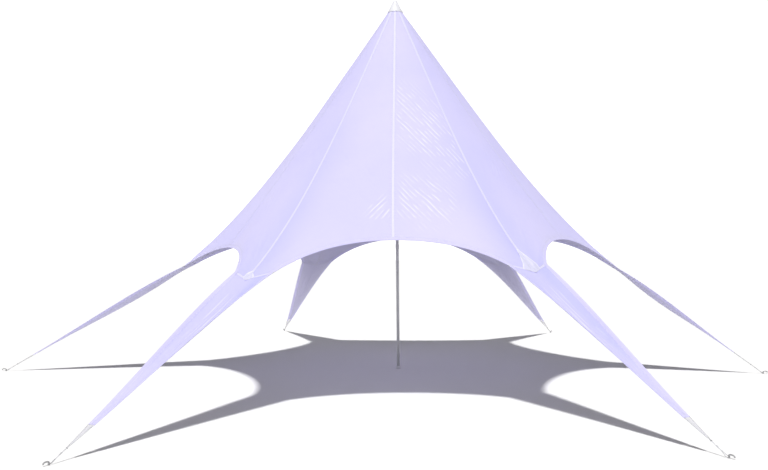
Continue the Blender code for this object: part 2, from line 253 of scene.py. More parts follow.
def makeFabric(name, inside=False):
    material, tree, shader = newMaterial(name)
    cloth = clothPlace(tree)
    place = objectPlace(tree)
    clouds = noise(tree, place, 0.9, 2.0)
    fine = noise(tree, place, 14.0, 4.0)
    # painted shade: a darker, greyer copy of the cloth colour for the underside
    if inside:
        deep = tuple(0.93 * part for part in fabricFinish["inner"])
        colour = blendColours(tree, clouds, fabricFinish["inner"], deep)
    else:
        clouds = rescale(tree, clouds, 0.35, 0.65, 0.0, 1.0)
        colour = blendColours(tree, clouds, fabricFinish["outer"], fabricFinish["warm"])
        # painted shade: bluer and darker where this field is set, beside the ridges and over the arms
        colour = blendColours(tree, readField(tree, "paintedShade"), colour, fabricFinish["paintedShadeColour"])
    worn = calc(tree, "MULTIPLY", readField(tree, "nearEdge"), rescale(tree, fine, 0.35, 0.7, 0.15, 0.75))
    worn = calc(tree, "MULTIPLY", worn, fabricFinish["wornShare"])
    colour = blendColours(tree, worn, colour, fabricFinish["worn"])
    lanes = clothPlace(tree, "creaseLine")
    apart = addNode(tree, "ShaderNodeSeparateXYZ", {0: lanes}).outputs[0]
    drift = noise(tree, stretchVector(tree, lanes, fabricFinish["driftStretch"]), 1.0, 1.0)
    drift = calc(tree, "MULTIPLY", drift, fabricFinish["drift"])
    wave = calc(tree, "MULTIPLY_ADD", apart, math.tau / fabricFinish["creasePitch"], drift)
    wave = calc(tree, "SINE", wave)
    broken = noise(tree, stretchVector(tree, lanes, fabricFinish["breakStretch"]), 1.0, 1.0)
    shown = calc(tree, "MULTIPLY", rescale(tree, broken, 0.42, 0.62, 0.0, 1.0),
                 rescale(tree, readField(tree, "creased"), 0.12, 0.60, 0.0, 1.0))
    # painted highlight on the crease crests and painted shade in their troughs, over the crease bump
    bright = calc(tree, "MULTIPLY", rescale(tree, wave, 0.10, 0.95, 0.0, 1.0), shown)
    grey = calc(tree, "MULTIPLY", rescale(tree, wave, -0.45, -1.0, 0.0, 1.0), shown)
    creased = calc(tree, "MULTIPLY", wave, shown)
    if not inside:
        bright = calc(tree, "MULTIPLY", bright, fabricFinish["highlightShare"])
        grey = calc(tree, "MULTIPLY", grey, fabricFinish["creaseShadeShare"])
        colour = blendColours(tree, bright, colour, fabricFinish["creaseHighlight"])
        colour = blendColours(tree, grey, colour, fabricFinish["creaseShade"])
    smooth, rough = fabricFinish["roughness"] - 0.07, fabricFinish["roughness"] + 0.08
    shader.inputs["Sheen Weight"].default_value = fabricFinish["sheen"]
    shader.inputs["Specular IOR Level"].default_value = fabricFinish["specular"]
    normal = addBump(tree, noise(tree, place, 2.6, 4.0, 0.5), fabricFinish["crumpleDepth"])
    if not inside:
        normal = addBump(tree, creased, fabricFinish["creaseDepth"], normal)
    split = addNode(tree, "ShaderNodeSeparateXYZ", {0: cloth})
    wander = calc(tree, "MULTIPLY_ADD", fine, 0.035, split.outputs[1])
    ripple = calc(tree, "SINE", calc(tree, "MULTIPLY", wander, math.tau / fabricFinish["puckerPitch"]))
    pucker = calc(tree, "MULTIPLY", ripple, readField(tree, "nearSeam"))
    normal = addBump(tree, pucker, fabricFinish["puckerDepth"], normal)
    weave = wovenHeight(tree, cloth, fabricFinish["weavePitch"])
    normal = addBump(tree, weave, fabricFinish["weaveDepth"], normal)
    feedShader(tree, shader, colour, normal, rescale(tree, fine, 0.3, 0.7, smooth, rough))
    return material


def makeTape(name, middle, rimColour):
    material, tree, shader = newMaterial(name)
    cloth = clothPlace(tree)
    fine = noise(tree, objectPlace(tree), 30.0, 3.0)
    rim = readField(tree, "nearEdge")
    # towards the rim colour near the edges: on the seam tapes painted shade along the raised edge with grime,
    # on the corner patches a pale binding
    grey = calc(tree, "MULTIPLY", rim, rescale(tree, fine, 0.3, 0.7, 0.65, 1.0))
    colour = blendColours(tree, grey, middle, rimColour)
    smooth, rough = tapeFinish["roughness"] - 0.05, tapeFinish["roughness"] + 0.08
    shader.inputs["Sheen Weight"].default_value = tapeFinish["sheen"]
    weave = wovenHeight(tree, cloth, tapeFinish["weavePitch"])
    normal = addBump(tree, weave, tapeFinish["weaveDepth"], addBump(tree, fine, 0.0012))
    feedShader(tree, shader, colour, normal, rescale(tree, fine, 0.3, 0.7, smooth, rough))
    return material


def makeWebbing(name):
    material, tree, shader = newMaterial(name)
    split = addNode(tree, "ShaderNodeSeparateXYZ", {0: clothPlace(tree)})
    slant = calc(tree, "ADD", calc(tree, "ABSOLUTE", split.outputs[0]), split.outputs[1])
    rib = calc(tree, "SINE", calc(tree, "MULTIPLY", slant, math.tau / webFinish["rib"]))
    fine = noise(tree, objectPlace(tree), 60.0, 4.0)
    # painted shade in the grooves between the ribs
    shade = calc(tree, "MULTIPLY", rescale(tree, rib, -1.0, 0.4, 0.55, 0.0),
                 rescale(tree, fine, 0.3, 0.7, 0.6, 1.2))
    colour = blendColours(tree, shade, webFinish["pale"], webFinish["dark"])
    shader.inputs["Sheen Weight"].default_value = webFinish["sheen"]
    normal = addBump(tree, rib, webFinish["depth"], addBump(tree, fine, 0.0006))
    feedShader(tree, shader, colour, normal, webFinish["roughness"])
    return material


def makeThread(name):
    material, tree, shader = newMaterial(name)
    fine = noise(tree, objectPlace(tree), 900.0, 2.0)
    colour = blendColours(tree, fine, threadFinish["colour"], threadFinish["dark"])
    feedShader(tree, shader, colour, addBump(tree, fine, 0.0002), threadFinish["roughness"])
    return material


def makeMetal(name, finish):
    material, tree, shader = newMaterial(name)
    place = objectPlace(tree)
    brushed = noise(tree, stretchVector(tree, place, finish["grain"]), 1.0, 5.0, 0.6)
    spots = addNode(tree, "ShaderNodeTexVoronoi", {"Vector": place, "Scale": 240.0}).outputs["Color"]
    mottle = addNode(tree, "ShaderNodeSeparateColor", {0: spots}).outputs[0]
    dull = calc(tree, "MULTIPLY_ADD", mottle, 0.30, rescale(tree, brushed, 0.3, 0.75, 0.0, 0.7))
    colour = blendColours(tree, dull, finish["bright"], finish["dull"])
    shader.inputs["Metallic"].default_value = 0.92
    if "soil" in finish:  # damp soil where a rod meets the ground
        height = addNode(tree, "ShaderNodeSeparateXYZ", {0: place}).outputs[2]
        soil = rescale(tree, height, 0.002, 0.016, 1.0, 0.0)
        soil = calc(tree, "MULTIPLY", soil, rescale(tree, noise(tree, place, 220.0), 0.35, 0.6, 0.2, 1.0))
        colour = blendColours(tree, soil, colour, finish["soil"])
        tree.links.new(rescale(tree, soil, 0.0, 1.0, 0.92, 0.0), shader.inputs["Metallic"])
    rough = rescale(tree, brushed, 0.25, 0.75, finish["roughness"] - 0.08, finish["roughness"] + 0.14)
    feedShader(tree, shader, colour, addBump(tree, brushed, 0.00025), rough)
    return material


def makePlastic(name, finish):
    material, tree, shader = newMaterial(name)
    place = objectPlace(tree)
    pebble = noise(tree, place, 420.0, 2.0)
    patches = noise(tree, place, 26.0, 5.0, 0.65)
    facing = addNode(tree, "ShaderNodeNewGeometry").outputs["Normal"]
    level = addNode(tree, "ShaderNodeSeparateXYZ", {0: facing}).outputs[2]
    ledge = rescale(tree, level, 0.2, 1.0, 0.0, 0.35)
    mask = calc(tree, "MULTIPLY_ADD", rescale(tree, patches, 0.52, 0.75, 0.0, 1.0), 0.5, ledge)
    normal = addBump(tree, pebble, 0.0003, addBump(tree, patches, 0.0006))
    rough = rescale(tree, patches, 0.3, 0.7, finish["roughness"] - 0.06, finish["roughness"] + 0.12)
    feedShader(tree, shader, blendColours(tree, mask, finish["clean"], finish["worn"]), normal, rough)
    return material


canopyCloth = makeFabric("canopyCloth")
canopyShadedInside = makeFabric("canopyShadedInside", inside=True)
seamTape = makeTape("seamTape", tapeFinish["centre"], tapeFinish["edge"])
matchedTape = makeTape("matchedTape", fabricFinish["outer"], tapeFinish["matchedEdge"])
cornerCloth = makeTape("cornerCloth", tapeFinish["corner"], tapeFinish["cornerEdge"])
tabWebbing = makeWebbing("tabWebbing")
seamThread = makeThread("seamThread")
wireSteel = makeMetal("wireSteel", ropeFinish)
pegSteel = makeMetal("pegSteel", pegFinish)
mastAluminium = makeMetal("mastAluminium", mastFinish)
capPlastic = makePlastic("capPlastic", capFinish)
footPlastic = makePlastic("footPlastic", footFinish)
print("materials made")


# Mesh helpers

def unit(vectors):
    return vectors / np.linalg.norm(vectors, axis=-1, keepdims=True)


def rowDot(first, second):
    return np.sum(first * second, axis=-1, keepdims=True)


def smoothStep(values):
    values = np.clip(values, 0.0, 1.0)
    return values * values * (3.0 - 2.0 * values)


def ramp(values, start, over):
    return smoothStep((values - start) / over)


def bell(values, width):
    return np.exp(-(values / width) ** 2)


def pairUp(over, down):
    return np.stack([over, down], axis=-1)


def lineRun(line):
    return np.concatenate([[0.0], np.cumsum(np.linalg.norm(np.diff(line, axis=0), axis=1))])


def fullTurn(steps):
    return np.linspace(0.0, math.tau, steps, endpoint=False)


def gridQuads(rows, columns, offset=0, wrap=False):
    spots = np.arange(rows * columns).reshape(rows, columns) + offset
    if wrap:
        spots = np.hstack([spots, spots[:, :1]])
    corners = [spots[:-1, :-1], spots[:-1, 1:], spots[1:, 1:], spots[1:, :-1]]
    return np.stack(corners, axis=-1).reshape(-1, 4)


def turnedInside(points, quads):
    a, b, c, d = (points[quads[:, corner]] for corner in range(4))
    return np.sum(np.cross(a, b) * c) + np.sum(np.cross(a, c) * d) < 0.0


def linkPiece(mesh):
    piece = bpy.data.objects.new(mesh.name, mesh)
    bpy.context.scene.collection.objects.link(piece)
    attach(piece, "root")
    return piece


def finishMesh(name, points, faces, materials, cloth=None, loopCloth=None, fields=None, facesFrom=None,
               crisp=40.0):
    mesh = bpy.data.meshes.new(name)
    mesh.from_pydata(points.tolist(), [], faces)
    for material in materials:
        mesh.materials.append(material)
    corners = np.empty(len(mesh.loops), dtype=np.int32)
    mesh.loops.foreach_get("vertex_index", corners)
    for layerName, flat in (cloth or {}).items():
        layer = mesh.uv_layers.new(name=layerName)
        layer.data.foreach_set("uv", flat[corners].astype(np.float32).ravel())
    for layerName, flat in (loopCloth or {}).items():
        layer = mesh.uv_layers.new(name=layerName)
        layer.data.foreach_set("uv", flat.astype(np.float32).ravel())
    for fieldName, values in (fields or {}).items():
        field = mesh.attributes.new(fieldName, "FLOAT", "POINT")
        field.data.foreach_set("value", values.astype(np.float32).ravel())
    if facesFrom is not None:
        mesh.polygons.foreach_set("material_index", facesFrom.astype(np.int32))
    mesh.shade_smooth()
    mesh.set_sharp_from_angle(angle=math.radians(crisp))
    mesh.update()
    return mesh


def clothMesh(name, part):
    sides = [canopyCloth, canopyShadedInside]
    return sheetMesh(name, part.middle, part.outward, canopy["thickness"], part.cloth, part.fields, sides)


def sheetMesh(name, middle, outward, thickness, cloth, fields, materials, lift=0.0):
    rows, columns = middle.shape[:2]
    outer = middle + (lift + 0.5 * thickness) * outward
    inner = middle + (lift - 0.5 * thickness) * outward
    points = np.vstack([outer.reshape(-1, 3), inner.reshape(-1, 3)])
    count = rows * columns
    face = gridQuads(rows, columns)
    back = gridQuads(rows, columns, count)[:, ::-1]
    spots = np.arange(count).reshape(rows, columns)
    border = np.concatenate([spots[0, :-1], spots[:-1, -1], spots[-1, :0:-1], spots[:0:-1, 0]])
    ahead = np.roll(border, -1)
    rim = np.stack([ahead, border, border + count, ahead + count], axis=-1)
    quads = np.vstack([face, back, rim])
    if turnedInside(points, quads):
        quads = quads[:, ::-1]
    sides = np.repeat([0, len(materials) - 1, 0], [len(face), len(back), len(rim)])
    twice = {key: np.vstack([flat.reshape(-1, 2)] * 2) for key, flat in cloth.items()}
    spread = {key: np.tile(values.ravel(), 2) for key, values in fields.items()}
    return finishMesh(name, points, quads.tolist(), materials, twice, None, spread, sides)


def loftMesh(name, rings, material, fields=None, crisp=40.0):
    stations, around = rings.shape[:2]
    points = rings.reshape(-1, 3)
    quads = gridQuads(stations, around, wrap=True)
    run = lineRun(rings.mean(axis=1))
    girth = np.linalg.norm(np.diff(np.vstack([rings[0], rings[0][:1]]), axis=0), axis=1).sum()
    column = np.tile(np.arange(around), stations - 1)
    row = np.repeat(np.arange(stations - 1), around)
    over = np.stack([column, column + 1, column + 1, column], axis=-1) * girth / around
    down = np.stack([run[row], run[row], run[row + 1], run[row + 1]], axis=-1)
    flat = np.stack([over, down], axis=-1)
    first, last = list(range(around)), list(range((stations - 1) * around, stations * around))
    if turnedInside(points, quads):
        quads, flat = quads[:, ::-1], flat[:, ::-1]
        last.reverse()
    else:
        first.reverse()
    loops = np.vstack([flat.reshape(-1, 2), np.zeros((2 * around, 2))])
    faces = quads.tolist() + [first, last]
    return finishMesh(name, points, faces, [material], None, {"cloth": loops}, fields, None, crisp)


def turnedMesh(name, profile, material, steps=72, crisp=35.0):
    angles = fullTurn(steps)
    profile = np.asarray(profile)
    rings = np.stack([np.outer(profile[:, 0], np.cos(angles)), np.outer(profile[:, 0], np.sin(angles)),
                      np.repeat(profile[:, 1:], steps, axis=1)], axis=-1)
    return loftMesh(name, rings, material, crisp=crisp)


def smoothLine(points, spacing):
    points = np.asarray(points)
    steps = np.linalg.norm(np.diff(points, axis=0), axis=1)[:, None]
    slopes = np.diff(points, axis=0) / steps
    middle = (slopes[1:] * steps[:-1] + slopes[:-1] * steps[1:]) / (steps[1:] + steps[:-1])
    tangents = np.vstack([slopes[:1], middle, slopes[-1:]])
    line = []
    for index, step in enumerate(steps[:, 0]):
        count = max(1, round(step / spacing))
        t = np.linspace(0.0, 1.0, count, endpoint=False)[:, None]
        ends = (2 * t ** 3 - 3 * t ** 2 + 1) * points[index] + (3 * t ** 2 - 2 * t ** 3) * points[index + 1]
        bent = (t ** 3 - 2 * t ** 2 + t) * tangents[index] + (t ** 3 - t ** 2) * tangents[index + 1]
        line.append(ends + step * bent)
    return np.vstack(line + [points[-1:]])


def tangentsOf(line):
    return unit(np.gradient(line, axis=0))


def carriedFrames(line):
    along = tangentsOf(line)
    side = np.cross(along[0], (0.0, 0.0, 1.0))
    frames = []
    for direction in along:
        side = side - np.dot(side, direction) * direction
        side = side / np.linalg.norm(side)
        frames.append(side)
    side = np.array(frames)
    return side, np.cross(along, side)


# The tent's lines, from the same dimensions as its solids

tent = {
    "arms": {  # bearing of the ridge and of the peg in degrees, mast axis to peg and to ridge joint in metres
        "right": (-3.0, -3.9, 5.50, 3.510),
        "back_right": (58.0, 57.5, 5.87, 3.510),
        "back_left": (121.0, 118.5, 6.14, 3.510),
        "left": (181.5, 182.8, 6.32, 3.510),
        "front_left": (241.5, 241.7, 6.14, 3.510),
        "front_right": (302.3, 303.3, 5.93, 3.375),
    },
    "bays": {  # height of each bay's arch
        "back_right_bay": 2.040,
        "back_bay": 2.110,
        "back_left_bay": 2.040,
        "front_left_bay": 1.965,
        "front_bay": 2.040,
        "front_right_bay": 2.040,
    },
    "ringRadius": 0.100,
    "ringHeight": 5.730,
    "ridgeTopSlope": 1.40,
    "ridgeEndSlope": 0.70,
    "nominalJointRadius": 3.510,
    "jointHeight": 1.560,
    "jointSlope": 0.655,
    "nominalReach": 6.000,
    "jointLift": 0.120,  # metres for each metre of reach
    "cornerSetback": 0.150,
    "crownRadius": 2.754,
    "archFullness": 0.595,
    "solidDepth": 0.008,
}

armCut = {
    "halfWidth": 0.300,
    "tipHalfWidth": 0.036,
    "taper": 1.1,
    "dishDepth": 0.084,
    "dishBalance": 0.6,
    "tabLength": 0.260,
    "tabHalfWidth": 0.008,
    "freeCable": 0.260,
    "rows": 112,
    "columns": 48,
    "tabRows": 26,
}

canopy = {
    "coarseRows": 14,  # steps of the solids' own net
    "rowSteps": 14,  # finer steps in each of them
    "columnSteps": 12,
    "seamColumns": 2,
    "archColumns": 6,
    "thickness": 0.0020,
}

cable = {
    "radius": 0.0030,
    "height": 0.0105,
    "eyeStack": 0.0035,
    "hemGap": 0.0008,
    "gatherRun": 0.050,
    "partingRun": 0.090,
    "pegRadius": 0.007,
    "clearance": 0.0003,
}

Arm = namedtuple("Arm", "name bearing joint peg along side under length")


def outFromMast(bearing):
    angle = math.radians(bearing)
    return np.array([math.cos(angle), math.sin(angle), 0.0])


def across(bearing):
    angle = math.radians(bearing)
    return np.array([-math.sin(angle), math.cos(angle), 0.0])


def upward(height):
    return np.array([0.0, 0.0, height])


def bezier(handles, shares):
    t = np.asarray(shares)[:, None]
    points = [np.broadcast_to(handle, (len(t), 3)) for handle in handles]
    while len(points) > 1:
        points = [a + t * (b - a) for a, b in zip(points, points[1:])]
    return points[0]


def layOutArm(name, bearing, pegBearing, reach, jointRadius):
    height = tent["jointHeight"] + tent["jointLift"] * (reach - tent["nominalReach"])
    height += tent["jointSlope"] * (tent["nominalJointRadius"] - jointRadius)
    joint = jointRadius * outFromMast(bearing) + upward(height)
    peg = reach * outFromMast(pegBearing)
    drop = peg + upward(cable["height"]) - joint
    along = unit(drop)
    side = unit(np.cross(upward(1.0), along))
    return Arm(name, bearing, joint, peg, along, side, unit(np.cross(side, along)), np.linalg.norm(drop))


def armPoints(arm, distance, sideways, lift=0.0):
    distance, sideways, lift = (np.asarray(part)[..., None] for part in (distance, sideways, lift))
    return arm.joint + distance * arm.along + sideways * arm.side - lift * arm.under


def tipOf(arm):
    return arm.length - armCut["freeCable"] - armCut["tabLength"]


def tabHalf(share):
    return armCut["tipHalfWidth"] + (armCut["tabHalfWidth"] - armCut["tipHalfWidth"]) * share


def seamLine(arm, sides):
    return armPoints(arm, -tent["cornerSetback"] * np.abs(sides), sides * armCut["halfWidth"])


def ridgeLine(arm, shares):
    outward = outFromMast(arm.bearing)
    start = tent["ringRadius"] * outward + upward(tent["ringHeight"])
    third = (np.linalg.norm(arm.joint[:2]) - tent["ringRadius"]) / 3.0
    leave = start + third * (outward - upward(tent["ridgeTopSlope"]))
    arrive = arm.joint - third * (outward - upward(tent["ridgeEndSlope"]))
    return bezier((start, leave, arrive, arm.joint), shares)


def archLine(crownBearing, crownHeight, corner, side, shares):
    crown = tent["crownRadius"] * outFromMast(crownBearing) + upward(crownHeight)
    reach = abs(np.dot(corner - crown, across(crownBearing)))
    handle = crown + side * tent["archFullness"] * reach * across(crownBearing)
    return bezier((crown, handle, corner), shares)


def lowerEdge(armA, armB, crownBearing, crownHeight):
    seam = np.linspace(0.0, 1.0, canopy["seamColumns"] * canopy["columnSteps"] + 1)
    arch = np.linspace(0.0, 1.0, canopy["archColumns"] * canopy["columnSteps"] + 1)
    seamA, seamB = seamLine(armA, seam), seamLine(armB, -seam)
    archA = archLine(crownBearing, crownHeight, seamA[-1], -1, arch)
    archB = archLine(crownBearing, crownHeight, seamB[-1], 1, arch)
    return np.vstack([seamA[:-1], archA[::-1], archB[1:], seamB[-2::-1]])


def settleNet(net):
    rows, columns = net.shape[0] - 2, net.shape[1] - 2
    pullDown, pullAcross = canopy["rowSteps"] ** 2, canopy["columnSteps"] ** 2

    def waves(count):
        index = np.arange(1, count + 1)
        shapes = math.sqrt(2.0 / (count + 1)) * np.sin(math.pi * np.outer(index, index) / (count + 1))
        return shapes, 2.0 - 2.0 * np.cos(math.pi * index / (count + 1))

    (down, stiffDown), (over, stiffOver) = waves(rows), waves(columns)
    stiff = pullDown * stiffDown[:, None] + pullAcross * stiffOver[None, :]
    pull = np.zeros((rows, columns, 3))
    pull[0] += pullDown * net[0, 1:-1]
    pull[-1] += pullDown * net[-1, 1:-1]
    pull[:, 0] += pullAcross * net[1:-1, 0]
    pull[:, -1] += pullAcross * net[1:-1, -1]
    for axis in range(3):
        net[1:-1, 1:-1, axis] = down @ ((down @ pull[:, :, axis] @ over) / stiff) @ over
    return net


def bayNet(name, armA, armB):
    spread = (armB.bearing - armA.bearing) % 360.0
    edge = lowerEdge(armA, armB, armA.bearing + 0.5 * spread, tent["bays"][name])
    shares = np.linspace(0.0, 1.0, canopy["coarseRows"] * canopy["rowSteps"] + 1)
    net = np.zeros((len(shares), len(edge), 3))
    bearings = np.radians(armA.bearing + spread * np.linspace(0.0, 1.0, len(edge)))
    net[0] = np.stack([tent["ringRadius"] * np.cos(bearings), tent["ringRadius"] * np.sin(bearings),
                       np.full(len(edge), tent["ringHeight"])], axis=-1)
    net[-1] = edge
    net[:, 0] = ridgeLine(armA, shares)
    net[:, -1] = ridgeLine(armB, shares)
    return settleNet(net)


def netOutward(net, armA, armB):
    down = np.gradient(net, axis=0)
    outward = -unit(np.cross(np.gradient(net, axis=1), down))
    for column, arm in ((0, armA), (-1, armB)):
        outward[:, column] = -unit(np.cross(across(arm.bearing), down[:, column]))
    return outward


arms = [layOutArm(name, *place) for name, place in tent["arms"].items()]
bayPairs = list(zip(tent["bays"], arms, arms[1:] + arms[:1]))


# Folds and creases of each bay. A crease patch lies at so many metres across from the mid seam and down
# from the ring; its heading is measured from straight down towards the ridge.

folds = {
    "seed": 7,
    "perCorner": 7,
    "start": 0.18,  # metres from the joint over which a fold rises
    "angles": (9.0, 62.0),
    "width": (0.030, 0.055),
    "depth": (0.0025, 0.0070),
    "reach": (0.55, 1.60),
    "billow": 0.0045,
    "swells": 6,  # slow waves of the cloth between its seams
    "swellWaves": (1.2, 3.4),
    "ridgeMargin": 0.060,
    "hemMargin": 0.110,
    "topMargin": 0.35,
    "seamMargin": 0.030,
    "creaseSlant": 36.0,  # heading of the crease lines: bumped into the cloth, with a painted highlight and shade
}

creasePatches = {
    "front_bay": [
        {"at": (0.42, 2.55), "size": (1.00, 0.38), "depth": 0.0026, "pitch": 0.120, "heading": 36.0},
        {"at": (0.40, 3.90), "size": (0.42, 0.36), "depth": 0.0026, "pitch": 0.105, "heading": 36.0},
        {"at": (-0.14, 4.05), "size": (0.26, 0.15), "depth": 0.0016, "pitch": 0.085, "heading": 36.0},
    ],
    "front_right_bay": [
        {"at": (-0.45, 3.30), "size": (0.60, 0.30), "depth": 0.0010, "pitch": 0.130, "heading": 24.0,
         "shown": 0.2},
    ],
    "front_left_bay": [
        {"at": (0.30, 3.75), "size": (0.50, 0.26), "depth": 0.0012, "pitch": 0.130, "heading": 28.0,
         "shown": 0.3},
    ],
    "back_bay": [
        {"at": (-0.48, 2.70), "size": (0.80, 0.30), "depth": 0.0028, "pitch": 0.125, "heading": 30.0},
        {"at": (0.30, 3.90), "size": (0.40, 0.22), "depth": 0.0030, "pitch": 0.110, "heading": 32.0},
    ],
    "back_right_bay": [
        {"at": (0.36, 3.60), "size": (0.60, 0.30), "depth": 0.0026, "pitch": 0.120, "heading": 27.0},
    ],
    "back_left_bay": [
        {"at": (-0.40, 3.40), "size": (0.65, 0.30), "depth": 0.0025, "pitch": 0.125, "heading": 29.0},
    ],
}

bayShades = {  # where a bay's finish and its painted shade change, in metres from its ridges, seams, hem and top
    # painted shade beside the ridges: its strength, its reach and where it starts
    "paintedShade": 0.62,
    "paintedShadeReach": 0.42,
    "paintedShadeStart": (1.2, 3.6),  # where it starts and over how far it grows
    "creaseGap": 0.08,
    "seamReach": 0.040,
    "seamWear": 0.030,
    "hemWear": 0.10,
}

Bay = namedtuple("Bay", "name armA armB middle outward cloth fields")


def runLengths(grid, axis):
    steps = np.linalg.norm(np.diff(grid, axis=axis), axis=-1)
    shape = list(steps.shape)
    shape[axis] = 1
    return np.concatenate([np.zeros(shape), np.cumsum(steps, axis=axis)], axis=axis)


def cornerFolds(net, joint, ridge, seed):
    chance = np.random.default_rng(seed)
    apart = net - joint
    far = np.linalg.norm(apart, axis=-1) + 1e-6
    upRidge = unit(ridge[-24] - ridge[-1])
    turn = np.arccos(np.clip(apart @ upRidge / far, -1.0, 1.0))
    height = np.zeros(far.shape)
    for index in range(folds["perCorner"]):
        low, high = folds["angles"]
        heading = math.radians(low + (high - low) * (index + chance.uniform(0.2, 0.8)) / folds["perCorner"])
        width, depth, reach = (chance.uniform(*folds[key]) for key in ("width", "depth", "reach"))
        crest = bell((turn - heading) * far, width)
        faded = smoothStep((far - 0.4 * reach) / (0.6 * reach))
        height += depth * crest * smoothStep(far / folds["start"]) * (1.0 - faded)
    return height


def creaseField(patch, over, down):
    side = math.copysign(1.0, patch["at"][0])
    heading = math.radians(patch["heading"])
    x, y = side * over - abs(patch["at"][0]), down - patch["at"][1]
    along = x * math.sin(heading) + y * math.cos(heading)
    apart = x * math.cos(heading) - y * math.sin(heading)
    length, width = patch["size"]
    mask = np.exp(-(along / length) ** 2 - (apart / width) ** 2) * (side * over > 0.0)
    drift = 0.35 * np.sin(along * 7.0 / length) + 0.5 * np.sin(apart * 3.1 / width + 1.3)
    return patch["depth"] * mask * np.cos(math.tau * apart / patch["pitch"] + drift), mask


def drapeBay(name, armA, armB):
    net = bayNet(name, armA, armB)
    outward = netOutward(net, armA, armB)
    overRun, downRun = runLengths(net, 1), runLengths(net, 0)
    centre = net.shape[1] // 2
    over = overRun - overRun[:, centre:centre + 1]
    ridgeGap = np.minimum(overRun, overRun[:, -1:] - overRun)
    hemGap = downRun[-1:] - downRun
    seed = folds["seed"] + 10 * list(tent["bays"]).index(name)
    height = cornerFolds(net, armA.joint, net[:, 0], seed)
    height += cornerFolds(net, armB.joint, net[:, -1], seed + 1)
    chance = np.random.default_rng(seed + 2)
    for index in range(folds["swells"]):
        waves = chance.uniform(*folds["swellWaves"], 2)
        shift = chance.uniform(0.0, math.tau, 2)
        swell = folds["billow"] / 3.0 * np.sin(waves[0] * over * 2.0 + shift[0])
        height += swell * np.sin(waves[1] * downRun + shift[1])
    creased = np.zeros(height.shape)
    for patch in creasePatches[name]:
        crease, mask = creaseField(patch, over, downRun)
        height += crease
        creased = np.maximum(creased, mask * patch.get("shown", 1.0))
    hold = smoothStep(ridgeGap / folds["ridgeMargin"]) * smoothStep(hemGap / folds["hemMargin"])
    hold *= smoothStep(downRun / folds["topMargin"]) * (1.0 - 0.8 * bell(over, folds["seamMargin"]))
    middle = net - 0.5 * tent["solidDepth"] * outward + (height * hold)[..., None] * outward
    slant = math.radians(folds["creaseSlant"])
    apart = np.abs(over) * math.cos(slant) - downRun * math.sin(slant)
    along = np.abs(over) * math.sin(slant) + downRun * math.cos(slant)
    seamGap = np.minimum(ridgeGap, np.abs(over))
    # painted shade: bluer and darker beside the ridges, growing towards the joints
    paintedShade = bell(ridgeGap, bayShades["paintedShadeReach"]) * ramp(downRun, *bayShades["paintedShadeStart"])
    seamWear = 0.6 * bell(seamGap, bayShades["seamWear"])
    fields = {
        "creased": creased * smoothStep(seamGap / bayShades["creaseGap"]),
        "paintedShade": paintedShade * bayShades["paintedShade"],
        "nearSeam": bell(seamGap, bayShades["seamReach"]) * smoothStep(downRun / 0.5),
        "nearEdge": np.maximum(bell(hemGap, bayShades["hemWear"]), seamWear),
    }
    cloth = {"cloth": pairUp(over, downRun), "creaseLine": pairUp(apart, along)}
    return Bay(name, armA, armB, middle, outward, cloth, fields)


bays = [drapeBay(*pair) for pair in bayPairs]
for bay in bays:
    mesh = clothMesh(bay.name + "_cloth", bay)
    sheet = linkPiece(mesh)
    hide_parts(bay.name + "_gore_1", bay.name + "_gore_2")


# Arms: dished tapering strips, folded lengthwise by the pull of their cables

armFolds = {
    "seed": 41,
    "count": 4,
    "width": (0.016, 0.030),
    "depth": (0.0030, 0.0070),
    "reach": (0.5, 1.3),
    "lane": (-0.62, 0.62),  # share of the half width
    "start": (0.05, 0.55),
    "spine": 0.0060,  # the long crease down the middle of an arm
    "spineWidth": 0.020,
    "spineStart": (0.22, 0.25),  # from the joint, where it starts and over how far it grows
    "spineEnd": (1.1, 0.9),
    "rise": 0.16,
    "edgeMargin": (0.040, 0.050),
    "topMargin": 0.07,
}

armShades = {  # where an arm's finish and its painted shade change: where it starts and over how far
    "creaseReach": 0.10,
    "creaseStart": (0.15, 0.3),
    "creaseEnd": (0.9, 0.8),
    "paintedShade": (0.35, 0.55),  # painted shade, on the whole arm and more of it on one side
    "paintedShadeSide": (0.05, 0.5),
    "paintedShadeEnd": (1.3, 0.9),
    "seamReach": 0.045,
    "edgeWear": 0.05,
    "tipWear": (0.75, 0.25),
}

Strip = namedtuple("Strip", "arm middle outward cloth fields half")


